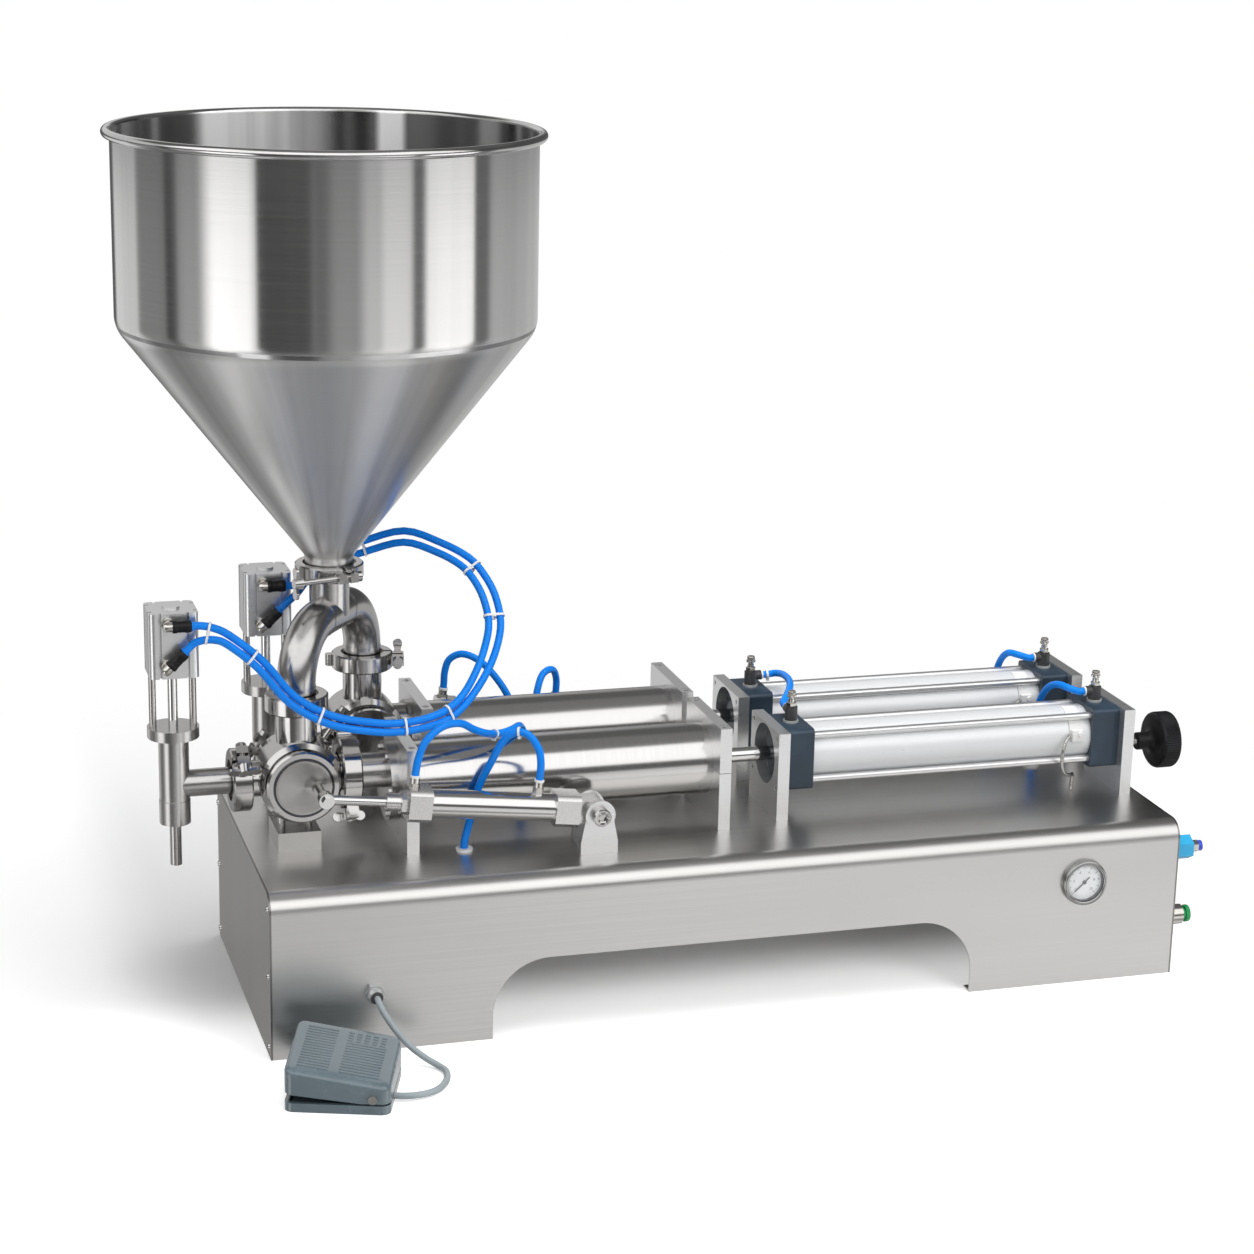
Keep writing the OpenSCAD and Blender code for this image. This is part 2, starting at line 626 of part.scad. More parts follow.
// Manifold: a tee under the hopper with an elbow down to each valve
run_a = [valve_x(0), line_y(0)];
run_b = [valve_x(1), line_y(1)];
run_l = norm(run_b - run_a);
run_turn = atan2(run_b[1] - run_a[1], run_b[0] - run_a[0]);
module manifold_shape(r) translate([hopper_x, hopper_y, 0]) rotate([0, 0, run_turn]) {
    half = run_l / 2 - elbow_r;
    translate([0, 0, run_z]) rotate([0, 90, 0]) cylinder(r = r, h = 2 * half, center = true);
    for (e = [0, 180]) rotate([0, 0, e]) {
        translate([half, 0, run_z - elbow_r]) rotate([90, 0, 0]) rotate_extrude(angle = 90)
            translate([elbow_r, 0]) circle(r = r);
        translate([run_l / 2, 0, leg_joint_z]) cylinder(r = r, h = run_z - elbow_r - leg_joint_z);
    }
}
// Weld beads where the elbows meet the run and the legs
module weld_rings(r) translate([hopper_x, hopper_y, 0]) rotate([0, 0, run_turn])
    for (e = [0, 180]) rotate([0, 0, e]) {
        translate([run_l / 2 - elbow_r - 1, 0, run_z]) rotate([0, 90, 0]) cylinder(r = r, h = 2);
        translate([run_l / 2, 0, run_z - elbow_r - 1]) cylinder(r = r, h = 2);
    }
module manifold() color(polished) difference() {
    union() {
        manifold_shape(pipe_d / 2);
        weld_rings(pipe_d / 2 + 0.4);
        translate([hopper_x, hopper_y, run_z]) cylinder(r = pipe_d / 2 + 1, h = hopper_joint_z - run_z);
        translate([hopper_x, hopper_y, hopper_joint_z - ferrule_t])
            cylinder(r = neck_ferrule_r, h = ferrule_t);
        for (s = lines) translate([valve_x(s), line_y(s), leg_joint_z])
            cylinder(r = ferrule_r, h = ferrule_t);
    }
    manifold_shape(pipe_d / 2 - pipe_t);
    translate([hopper_x, hopper_y, run_z]) cylinder(r = pipe_d / 2 + 1 - pipe_t, h = hopper_joint_z);
    for (s = lines) translate([valve_x(s), line_y(s), leg_joint_z - 5])
        cylinder(r = pipe_d / 2 - pipe_t, h = 20);
}

// Front of each valve faces its own actuator: the front line to -Y, the rear to +Y
module at_valve(s) translate([valve_x(s), line_y(s), valve_z]) mirror([0, s, 0]) children();
front_face = 42;
neck_l = 8;
neck_r = 33;
back_l = 12;
core_back = 24;
// All clamps round the valves, and the rings that hold the valve cores
module valve_clamps() color(polished) for (s = lines) {
    translate([valve_x(s), line_y(s), leg_joint_z]) rotate([0, 0, s == 0 ? 95 : -10])
        clamp_ring(clamp_r, 18, ferrule_r, port_r + 1.5);
    translate([valve_x(s) - out_reach, line_y(s), valve_z]) rotate([0, 0, s * 180]) rotate([217, 0, 0])
        rotate([0, 90, 0]) clamp_ring(clamp_r, clamp_w, ferrule_r, port_r);
    if (s == 0) translate([front_port_x, line_y(s), valve_z]) rotate([-30, 0, 0]) rotate([0, 90, 0])
        clamp_ring(38, clamp_w, ferrule_r, port_r);
    at_valve(s) {
        rotate([90, 0, 0]) rotate_extrude() polygon([
            [core_r + 2 * fit, front_face - 4], [core_r + 2 * fit, front_face], [ring_r - 2, front_face],
            [ring_r, front_face - 2], [ring_r, body_l / 2 + 1], [neck_r + seat, body_l / 2 + 1],
            [neck_r + seat, front_face - 4]]);
        translate([0, body_l / 2 + 7, 0]) rotate([0, -145, 0]) rotate([90, 0, 0])
            clamp_ring(37, 12, 30, 22, 46, 90);
    }
}

// Valve body: a drum across the line with ports up, left and right
module valve_body(s) {
    right = s == 0 ? front_port_x - valve_x(0) : rear_port_x - valve_x(1);
    color(polished) difference() {
        union() {
            at_valve(s) rotate([90, 0, 0]) rotate_extrude() polygon([
                [0, -body_l / 2 - back_l], [20, -body_l / 2 - back_l], [20, -body_l / 2 - 10],
                [30, -body_l / 2 - 10], [30, -body_l / 2 - 4], [22, -body_l / 2 - 4], [22, -body_l / 2],
                [body_r - 5, -body_l / 2], [body_r, -body_l / 2 + 5], [body_r, body_l / 2 - 5],
                [body_r - 5, body_l / 2], [neck_r, body_l / 2], [neck_r, body_l / 2 + neck_l],
                [0, body_l / 2 + neck_l]]);
            translate([valve_x(s), line_y(s), valve_z]) cylinder(r = port_r + 2, h = leg_joint_z - valve_z);
            translate([valve_x(s), line_y(s), leg_joint_z - ferrule_t])
                cylinder(r = ferrule_r, h = ferrule_t);
            along_x(valve_x(s) - out_reach, line_y(s), valve_z, port_r, out_reach);
            along_x(valve_x(s) - out_reach, line_y(s), valve_z, ferrule_r, ferrule_t);
            along_x(valve_x(s), line_y(s), valve_z, s == 0 ? port_r : port_r + 8, right);
            if (s == 0) along_x(valve_x(s) + right - ferrule_t, line_y(s), valve_z, ferrule_r, ferrule_t);
        }
        at_valve(s) rotate([90, 0, 0]) translate([0, 0, -core_back - fit])
            cylinder(r = core_r + fit, h = core_back + fit + front_face);
        translate([valve_x(s), line_y(s), valve_z]) cylinder(r = port_bore_r + 1, h = leg_joint_z);
        along_x(valve_x(s) - out_reach - 1, line_y(s), valve_z, port_bore_r, out_reach + 1);
        along_x(valve_x(s), line_y(s), valve_z, port_bore_r, right + 1);
    }
}
module front_valve_body() valve_body(0);
module rear_valve_body() valve_body(1);

// Turning core: a plug with one side cut away, which joins the hopper to the
// product cylinder at rest and the cylinder to the nozzle after a quarter turn
core_face = front_face + 1;
pin_r = 4;
rod_end_half = 6;
pin_end = act_out - rod_end_half - stop_gap;
module valve_core(s) color(polished) at_valve(s) difference() {
    union() {
        rotate([90, 0, 0]) translate([0, 0, -core_back]) cylinder(r = core_r, h = core_back + core_face);
        translate([crank_r * cos(crank_deg), 0, -crank_r * sin(crank_deg)]) rotate([90, 0, 0]) {
            cylinder(r = pin_r, h = pin_end);
            translate([0, 0, core_face - 1]) cylinder(r = 7, h = 4);
        }
    }
    translate([-port_bore_r, -18, -body_r]) cube([body_r + port_bore_r, 36, 2 * body_r]);
}
module front_valve_core() valve_core(0);
module rear_valve_core() valve_core(1);

// Blocks on the cabinet top with two posts under each valve body
support_h = 21;
module valve_supports() color(polished) for (s = lines) translate([valve_x(s) - 2, line_y(s), 0])
    mirror([0, s, 0]) difference() {
        union() {
            block(-22.5, 22.5, -25, 35, base_h, base_h + support_h);
            for (e = [-1, 1]) translate([e * 14, 5, base_h]) cylinder(r = 4, h = valve_rise - 20);
        }
        translate([2, 0, valve_z]) rotate([90, 0, 0])
            cylinder(r = body_r + seat, h = 3 * body_l, center = true);
    }

// Shut-off nozzle: tube with a side branch, a disc and two pillars that carry
// the nozzle cylinder, and the outlet tip
disc_rise = 52;
disc_z = valve_z + disc_rise;
disc_t = 11;
disc_r = 26.5;
compact_rise = 120;
compact_z = valve_z + compact_rise;
nozzle_drop = 41;
nozzle_low = valve_z - nozzle_drop;
nozzle_bore_r = nozzle_d / 2 - 2.5;
pillar_x = 20.5;
pillar_r = 3.75;
branch_r = 14;
// The rear tip stands over the cabinet top, so it ends a little above it
tip_over = 5;
function tip_length(s) = s == 0 ? tip_l : nozzle_low - base_h - tip_over;
module at_nozzle(s) translate([nozzle_x(s), line_y(s), 0]) children();
module nozzle_bodies() color(polished) for (s = lines) {
    reach = valve_x(s) - out_reach - nozzle_x(s);
    at_nozzle(s) difference() {
        union() {
            translate([0, 0, nozzle_low]) cylinder(r = nozzle_d / 2 + 0.5, h = 25);
            translate([0, 0, nozzle_low + 24]) cylinder(r = nozzle_d / 2 - 0.5, h = 4);
            translate([0, 0, nozzle_low + 26]) cylinder(r = nozzle_d / 2, h = disc_z - nozzle_low - 26);
            translate([0, 0, nozzle_low - tip_length(s)])
                cylinder(r = tip_d / 2, h = tip_length(s) + 1);
            translate([0, 0, disc_z]) cylinder(r = disc_r, h = disc_t);
            for (e = [-1, 1]) translate([e * pillar_x, 0, disc_z])
                cylinder(r = pillar_r, h = compact_z - disc_z);
            translate([0, 0, valve_z]) rotate([0, 90, 0]) cylinder(r = branch_r, h = reach);
            translate([reach - ferrule_t, 0, valve_z]) rotate([0, 90, 0])
                cylinder(r = ferrule_r, h = ferrule_t);
        }
        translate([0, 0, nozzle_low + 5]) cylinder(r = nozzle_bore_r, h = disc_z - nozzle_low - 5);
        translate([0, 0, nozzle_low - tip_l - 1]) cylinder(r = tip_bore / 2, h = tip_l + 10);
        translate([0, 0, disc_z - 1]) cylinder(r = act_rod_d / 2 + fit, h = disc_t + 2);
        translate([0, 0, valve_z]) rotate([0, 90, 0]) cylinder(r = branch_r - 2, h = reach + 1);
    }
}

// Compact air cylinder of the nozzle, a ribbed square body closed at both ends
compact_bore_r = 16;
compact_floor = 12;
corner_r = 6;
groove_at = 14;
groove_w = 2.6;
groove_deep = 4;
module compact_outline() difference() {
    half = compact_w / 2 - 2;
    union() {
        square([2 * half, 2 * (half - corner_r)], center = true);
        square([2 * (half - corner_r), 2 * half], center = true);
        for (a = [-1, 1]) for (b = [-1, 1]) translate([a * (half - corner_r), b * (half - corner_r)])
            circle(r = corner_r, $fn = 32);
    }
    for (a = [0 : 90 : 270]) for (e = [-1, 1]) rotate([0, 0, a])
        translate([half - groove_deep, e * groove_at - groove_w / 2]) square([2 * groove_deep, groove_w]);
}
module nozzle_cylinders() color(alu) for (s = lines) at_nozzle(s) difference() {
    union() {
        translate([0, 0, compact_z]) linear_extrude(compact_h) compact_outline();
        translate([0, 0, compact_z + compact_h]) cylinder(r = 9, h = 2);
    }
    translate([0, 0, compact_z + compact_floor])
        cylinder(r = compact_bore_r, h = compact_h - 2 * compact_floor);
    translate([0, 0, compact_z - 1]) cylinder(r = act_rod_d / 2 + fit, h = compact_floor + 2);
}
plunger_piston_t = compact_h - 2 * compact_floor - plunger_lift - 2;
module nozzle_plunger(s) color(polished) at_nozzle(s) {
    seat_z = nozzle_low + 5 + 0.2;
    translate([0, 0, seat_z]) cylinder(r1 = tip_bore / 2 + 1, r2 = nozzle_bore_r - 2, h = 7);
    translate([0, 0, seat_z + 7]) cylinder(r = nozzle_bore_r - 2, h = 6);
    translate([0, 0, seat_z + 5]) cylinder(r = act_rod_d / 2, h = compact_z + compact_floor - seat_z);
    translate([0, 0, compact_z + compact_floor + 1])
        cylinder(r = compact_bore_r - fit, h = plunger_piston_t);
}
module front_nozzle_plunger() nozzle_plunger(0);
module rear_nozzle_plunger() nozzle_plunger(1);

// Push-in hose fittings on the front of each nozzle cylinder
fit_y = -compact_w / 2 + 2;
upper_in = 11;
lower_in = 13;
upper_z = compact_z + compact_h - upper_in;
lower_z = compact_z + lower_in;
module push_in(l) {
    color(nickel) cylinder(r = 4.5, h = 8, $fn = 24);
    color(black) translate([0, 0, 5]) cylinder(r1 = 6, r2 = 5.6, h = l - 5, $fn = 24);
}
module nozzle_fittings() for (s = lines) at_nozzle(s) {
    color(nickel) along_y(-6, fit_y - 10, upper_z, 4.5, 10);
    translate([-8, fit_y - 10, upper_z]) rotate([0, 90, 0]) push_in(24);
    color(nickel) along_y(-8, fit_y - 10, lower_z, 4.5, 10);
    translate([-9.4, fit_y - 10, lower_z - 1.4]) rotate([0, 45, 0]) push_in(26);
}

// Valve actuator: a slim air cylinder that swings on a bracket and turns the
// core through the crank pin. Built along -X from its pivot, then tilted.
rest_dx = pivot_dx - crank_r * cos(crank_deg);
rest_dz = valve_rise - crank_r * sin(crank_deg) - pivot_rise;
act_l = norm([rest_dx, rest_dz]);
act_tilt = atan2(rest_dz, rest_dx);
function pivot_place(s) = [valve_x(s) + pivot_dx, line_y(s) + (s == 0 ? -act_out : act_out),
    base_h + pivot_rise];
module at_actuator(s) translate(pivot_place(s)) mirror([0, s, 0]) rotate([0, act_tilt, 0]) children();
act_block = 34;
rear_block_x = -46;
tube_end_x = rear_block_x + 26;
act_block_l = 24;
front_block_x = -202;
nose_x = front_block_x - 22;
eye_half = 13.7;
act_wall = 2.5;
act_piston_x = -160;
act_piston_t = 12;
pivot_r = 5;
module soft_block(x, l) intersection() {
    translate([x, -act_block / 2, -act_block / 2]) cube([l, act_block, act_block]);
    along_x(x - 1, 0, 0, act_block * 0.62, l + 2);
}
module valve_actuator(s) at_actuator(s) {
    color(alu) difference() {
        union() {
            soft_block(front_block_x, act_block_l);
            soft_block(rear_block_x, 26);
            along_x(front_block_x, 0, 0, act_d / 2, rear_block_x - front_block_x + 5);
            along_x(nose_x, 0, 0, 9, 25);
            translate([front_block_x - 7, 0, 0]) rotate([0, 90, 0]) cylinder(r = 13, h = 8, $fn = 6);
            translate([-26, -eye_half, -12]) cube([26, 2 * eye_half, 24]);
            along_y(0, -eye_half, 0, 12, 2 * eye_half);
        }
        along_x(nose_x - 1, 0, 0, act_rod_d / 2 + fit, 60);
        along_x(front_block_x + act_block_l, 0, 0, act_d / 2 - act_wall,
            rear_block_x - front_block_x - act_block_l);
        along_y(0, -50, 0, pivot_r + fit, 100);
    }
    color(nickel) for (x = [front_block_x + 6, rear_block_x - 18]) {
        low = x > front_block_x + act_block_l ? act_d / 2 - 1 : act_block / 2 - 1;
        translate([x, 0, low]) cylinder(r = 6, h = 27.5 - low - 6, $fn = 6);
        translate([x, 0, 27.5 - 8]) cylinder(r = 5, h = 8);
    }
}
module front_valve_actuator() valve_actuator(0);
module rear_valve_actuator() valve_actuator(1);

module actuator_rod(s) color(polished) at_actuator(s) {
    along_x(-act_l, 0, 0, act_rod_d / 2, act_l + act_piston_x + act_piston_t);
    along_x(act_piston_x, 0, 0, act_d / 2 - act_wall - fit, act_piston_t);
    along_y(-act_l, -rod_end_half, 0, 8, 2 * rod_end_half);
    translate([-act_l, -rod_end_half + 1, 0]) rotate([90, 0, 0]) cylinder(r = 5.5, h = 6, $fn = 6);
}
module front_actuator_rod() actuator_rod(0);
module rear_actuator_rod() actuator_rod(1);

// Brackets with two cheeks, a foot and the pivot bolt with its washers. The
// foot of the rear one reaches back under the product cylinder for its screws.
cheek_in = eye_half + 0.3;
cheek_out = 20;
module cheek_outline() {
    polygon([[-20, 0], [20, 0], [20, 12], [14, pivot_rise], [-14, pivot_rise], [-20, 12]]);
    translate([0, pivot_rise]) circle(r = 14);
}
module actuator_brackets() color(alu) for (s = lines)
    translate([pivot_place(s)[0], pivot_place(s)[1], base_h]) mirror([0, s, 0]) {
        for (y = [-cheek_out, cheek_in]) translate([0, y + cheek_out - cheek_in, 0]) rotate([90, 0, 0])
            linear_extrude(cheek_out - cheek_in) cheek_outline();
        block(-20, 20, -cheek_out, s == 0 ? cheek_out : cheek_out + 34, 0, 6);
        translate([0, 0, pivot_rise]) {
            along_y(0, -cheek_out - 8, 0, pivot_r, 2 * cheek_out + 14);
            along_y(0, -cheek_out - 3, 0, 16, 3);
            along_y(0, -cheek_out - 8, 0, 9, 5);
            along_y(0, cheek_out, 0, 9, 5);
        }
    }

// Stroke adjustment of the front line: the screw runs through the end plate
// and the cap, and pushes a stop pad inside the air barrel
stop_x = air_piston_x + air_piston_t + stroke + stop_gap;
stop_t = 10;
pad_r = screw_d / 2 + 4;
screw_out = 26;
wheel_x = end_plate_x + plate_t + screw_out;
module stroke_stop() color(polished) translate([0, line_y(0), cyl_z - screw_drop]) difference() {
    along_x(stop_x, 0, 0, pad_r, stop_t);
    along_x(stop_x + 4, 0, 0, screw_d / 2 - 1 + fit, stop_t);
}
module stroke_handwheel() translate([0, line_y(0), cyl_z - screw_drop]) {
    color(polished) along_x(stop_x + 4 + fit, 0, 0, screw_d / 2 - 1, stop_t);
    color(polished) along_x(stop_x + stop_t + fit, 0, 0, screw_d / 2, wheel_x + 20 - stop_x - stop_t);
    color(black) translate([wheel_x, 0, 0]) rotate([0, 90, 0]) rotate_extrude($fn = 96) polygon([
        [0, 0], [9, 0], [10, 1.5], [10, 13], [13, 17], [19, 20], [wheel_d / 2 - 4, 21],
        [wheel_d / 2 - 1, 22.5], [wheel_d / 2, 25], [wheel_d / 2, 40], [wheel_d / 2 - 2, 43],
        [wheel_d / 2 - 5, 43], [wheel_d / 2 - 7, 41], [8, 40], [0, 40]]);
}

// Pressure gauge in the front of the cabinet
bezel_t = 6;
gauge_depth = 22;
module at_gauge() translate([gauge_x, -base_w / 2, gauge_z]) rotate([90, 0, 0]) children();
module gauge_case() at_gauge() color(polished) difference() {
    union() {
        cylinder(r = gauge_r, h = bezel_t);
        translate([0, 0, -gauge_depth]) cylinder(r = gauge_r - 3, h = gauge_depth + 1);
        translate([0, 0, -gauge_depth - 12]) cylinder(r = 6, h = 13);
    }
    cylinder(r = gauge_r - 4, h = bezel_t + 1);
    translate([0, 0, -3]) cylinder(r = 0.8 + fit, h = 4);
}
module gauge_glass() at_gauge() color([0.8, 0.9, 1, 0.4]) translate([0, 0, 3.5])
    cylinder(r = gauge_r - 4 - seat, h = 1.5);
needle_deg = 223;
module gauge_needle() at_gauge() color(black) {
    translate([0, 0, -2.5]) cylinder(r = 0.8, h = 4.5);
    translate([0, 0, 1.2]) cylinder(r = 2.2, h = 1.2);
    rotate([0, 0, needle_deg]) translate([-8, -0.5, 1.4]) cube([23, 1, 0.8]);
}

// Air inlet and start button on the right end panel
module air_inlet() translate([base_l / 2, inlet_y, inlet_z]) {
    color([0.1, 0.6, 0.85]) difference() {
        union() {
            along_x(0, 0, 0, 13, 3);
            rotate([0, 90, 0]) cylinder(r = 14, h = 25, $fn = 6);
            along_x(-12, 0, 0, 8 - seat, 13);
            translate([0, 0, 9]) rotate([90, 0, 0]) rotate_extrude(angle = 90)
                translate([10, 0]) circle(r = 4);
        }
        along_x(-13, 0, 0, 4, 60);
    }
    color(nickel) difference() {
        translate([25, 0, 0]) rotate([0, 90, 0]) cylinder(r = 7, h = 9, $fn = 6);
        along_x(-13, 0, 0, 4, 60);
    }
    color([0.1, 0.2, 0.7]) difference() {
        along_x(34, 0, 0, 6, 5);
        along_x(-13, 0, 0, 4, 60);
    }
}
module button_collar() translate([base_l / 2, inlet_y, button_z]) color(nickel) difference() {
    union() {
        along_x(0, 0, 0, 13, 4);
        along_x(0, 0, 0, 11, 20);
        along_x(-20, 0, 0, button_r - seat, 21);
        along_x(-sheet_t - 4, 0, 0, 12, 4);
    }
    along_x(-16, 0, 0, 7.5 + fit, 40);
}
button_travel = 4;
module start_button() translate([base_l / 2, inlet_y, button_z]) color([0.0, 0.5, 0.25]) {
    along_x(-10, 0, 0, 7.5, 36);
    along_x(20 + button_travel + stop_gap, 0, 0, 9.5, 5);
}

// Foot pedal: a base tray, a cover that tips on a pin at its right end, and
// the pin. The pedal stands turned on the floor in front of the cabinet.
pedal_at = [-508, -295];
pedal_turn = -18.5;
pedal_pin_x = pedal_l - 17;
pedal_pin_z = 16;
pedal_pin_r = 2.5;
tray_h = 9;
// The top of the pedal is a plane that falls to the right and to the front
pedal_front_h = 43;
pedal_fall = 8.75;
pedal_lean = 6.3;
module at_pedal() translate([pedal_at[0], pedal_at[1], 0]) rotate([0, 0, pedal_turn]) children();
module pedal_plan(inset) {
    r = pedal_corner - inset;
    translate([inset, pedal_corner]) square([pedal_l - 2 * inset, pedal_w - 2 * pedal_corner]);
    translate([pedal_corner, inset]) square([pedal_l - 2 * pedal_corner, pedal_w - 2 * inset]);
    for (x = [pedal_corner, pedal_l - pedal_corner]) for (y = [pedal_corner, pedal_w - pedal_corner])
        translate([x, y]) circle(r = r);
}
module pedal_base() at_pedal() color([0.36, 0.43, 0.48]) {
    difference() {
        linear_extrude(tray_h) pedal_plan(0);
        translate([0, 0, 3]) linear_extrude(tray_h) pedal_plan(pedal_t + 1.5);
    }
    for (y = [pedal_t + 1, pedal_w - pedal_t - 9]) difference() {
        union() {
            block(pedal_pin_x - 6, pedal_pin_x + 6, y, y + 8, 1, pedal_pin_z);
            along_y(pedal_pin_x, y, pedal_pin_z, 6, 8);
        }
        along_y(pedal_pin_x, y - 1, pedal_pin_z, pedal_pin_r + seat, 10);
    }
}
pedal_low_l = 18;
pedal_low_r = 10.5;
module pedal_top() translate([0, 0, pedal_front_h]) rotate([pedal_lean, pedal_fall, 0]) children();
module pedal_shell(inset) intersection() {
    translate([0, 0, -1]) linear_extrude(90) pedal_plan(inset);
    pedal_top() translate([-60, -60, -80 - inset]) cube([260, 260, 80]);
}
module pedal_cover() at_pedal() color([0.38, 0.46, 0.5]) {
    difference() {
        pedal_shell(0);
        pedal_shell(pedal_t);
        translate([0, pedal_w + 5, 0]) rotate([90, 0, 0]) linear_extrude(pedal_w + 10)
            polygon([[-5, -5], [pedal_l + 5, -5], [pedal_l + 5, pedal_low_r],
                [pedal_pin_x - 12, pedal_low_r], [-5, pedal_low_l + 0.5]]);
        along_y(pedal_pin_x, -1, pedal_pin_z, pedal_pin_r + fit, pedal_w + 2);
    }
    pedal_top() for (k = [0 : 15]) {
        translate([11, 12 + 5 * k, -1]) cube([31, 2.4, 1.8]);
        translate([52, 12 + 5 * k, -1]) cube([40, 2.4, 1.8]);
    }
}
module pedal_pin() at_pedal() color(polished) {
    along_y(pedal_pin_x, -0.2, pedal_pin_z, pedal_pin_r, pedal_w + 0.4);
    for (y = [-2.2, pedal_w + 0.2]) along_y(pedal_pin_x, y, pedal_pin_z, 4.5, 2);
}

// Grommets in the cabinet top and the gland of the pedal cord
gland_out = 15;
module cable_glands() {
    color("white") for (h = table_holes) translate([h[0], h[1], base_h]) difference() {
        union() {
            cylinder(r = grommet_r + 2.3, h = 2.5);
            translate([0, 0, -sheet_t - 3]) cylinder(r = grommet_r - seat, h = sheet_t + 4);
        }
        translate([0, 0, -20]) cylinder(r = hose_d / 2 + 0.1, h = 40);
    }
    color([0.55, 0.56, 0.56]) translate([gland_x, -base_w / 2, gland_z]) rotate([90, 0, 0]) difference() {
        union() {
            cylinder(r = 10.5, h = 5, $fn = 6);
            cylinder(r = 8.6, h = 9);
            translate([0, 0, 9]) cylinder(r1 = 8.6, r2 = 6, h = gland_out - 9);
            translate([0, 0, -sheet_t - 8]) cylinder(r = gland_r - seat, h = sheet_t + 9);
            translate([0, 0, -sheet_t - 4]) cylinder(r = 10.5, h = 4, $fn = 6);
        }
        translate([0, 0, -20]) cylinder(r = cord_d / 2 + 0.1, h = 60);
    }
}

// Routes of the pedal cord and of the air hoses
pedal_cord_points = [[-394, -182, 63], [-394, -191, 63], [-393, -198, 60], [-389, -205, 51],
    [-380, -212, 37], [-367, -217, 21], [-352, -224, 9], [-341, -234, 4], [-336, -248, 3.6],
    [-339, -266, 3.6], [-348, -282, 3.6], [-360, -293, 4], [-376, -299, 5],
    [-388.5, -298.1, 5], [-398.2, -294.86, 5]];
hose_a = [[-555.9, -60, 427], [-548, -60, 427], [-536, -62, 425], [-519, -66, 417], [-486, -70, 389],
    [-455, -73, 351], [-418, -76, 329], [-378, -76, 319], [-349, -73, 315], [-318, -64, 315],
    [-292, -53, 320], [-272, -40, 331], [-254, -22, 350], [-241, -6, 371], [-233, 10, 393],
    [-235, 28, 416], [-243, 42, 434], [-254, 56, 446], [-276, 72, 457], [-308, 90, 465],
    [-348, 103, 453], [-388, 104, 441], [-410, 92, 430], [-425, 81, 417], [-438, 78, 407],
    [-444.9, 78, 400.1]];
hose_b = [[-562.9, -60, 400.1], [-555, -60, 408], [-546, -62, 412], [-534, -66, 413],
    [-521, -69, 408], [-492, -73.5, 383.5], [-460.5, -76.5, 345], [-421, -79, 321], [-379.5, -79, 310.5],
    [-349, -76, 306.5], [-316.5, -66.5, 306.5], [-288.5, -54.5, 311.5], [-265, -39, 325], [-243, -22, 347],
    [-228, -6, 370], [-220, 10, 393], [-222, 28, 418], [-231, 44, 438], [-244, 58, 453],
    [-270, 76, 466], [-306, 96, 476], [-348, 111, 463], [-388, 108, 451], [-408, 93, 441],
    [-420, 81, 431], [-429, 78, 427], [-437.9, 78, 427]];
front_rod_hose = [[-336.8, -104, 266.2], [-336, -104, 273.2], [-333, -103, 286], [-325, -101, 303],
    [-306, -94, 315], [-285, -84, 314], [-268, -74, 303], [-250, -60, 293], [-232, -43, 287],
    [-215, -24, 284], [-200, 2, 279], [-190, 24, 263], [-186, 40, 240], [-186, 44, 210],
    [-186, 44, 172]];
front_base_hose = [[-205.6, -104, 251.7], [-204.8, -104, 258.7], [-204, -104, 272], [-206, -102, 286],
    [-213, -98, 298], [-222, -93, 303], [-232, -88, 300], [-241, -83, 289], [-251, -78, 267],
    [-262, -74, 242], [-269, -74, 215], [-276, -79, 195], [-280, -83, 183], [-280, -83, 172]];
rear_rod_hose = [[-240.8, 192, 266.2], [-240, 192, 273.2], [-239, 192, 287], [-234, 191, 301],
    [-221, 186, 308], [-205, 178, 303], [-190, 170, 289], [-174, 164, 265], [-165, 161, 238],
    [-163, 161, 205], [-163, 161, 172]];
rear_base_hose = [[-109.6, 192, 251.7], [-108.8, 192, 258.7], [-109, 191, 270], [-113, 187, 281],
    [-121, 180, 285], [-131, 172, 281], [-138, 165, 266], [-142, 161, 243], [-143, 161, 210],
    [-143, 161, 172]];
link_hose = [[110.1, 113, 284], [118, 113, 284], [127, 109, 286], [131, 95, 288], [129, 70, 289],
    [120, 42, 290], [108, 18, 288], [99, 4, 285], [98, -5, 284], [98, -12.9, 284]];
right_front_hose = [[447.9, -25, 284], [440, -25, 284], [430, -20, 287], [424, -4, 287],
    [421, 14, 278], [420, 32, 257], [420, 43, 230], [420, 44, 200], [420, 44, 172]];
right_rear_hose = [[447.9, 113, 284], [440, 113, 284], [429, 118, 287], [423, 133, 285],
    [421, 149, 270], [420, 159, 245], [420, 161, 215], [420, 161, 172]];
module pedal_cord() color([0.45, 0.5, 0.53]) tube_along(pedal_cord_points, cord_d, 1);
module nozzle_hoses() color(hose_blue) {
    tube_along(hose_a, hose_d, 1);
    tube_along(hose_b, hose_d, 1);
}
module actuator_hoses() color(hose_blue)
    for (h = [front_rod_hose, front_base_hose, rear_rod_hose, rear_base_hose]) tube_along(h, hose_d, 1);
module cylinder_hoses() color(hose_blue)
    for (h = [link_hose, right_front_hose, right_rear_hose]) tube_along(h, hose_d, 1);

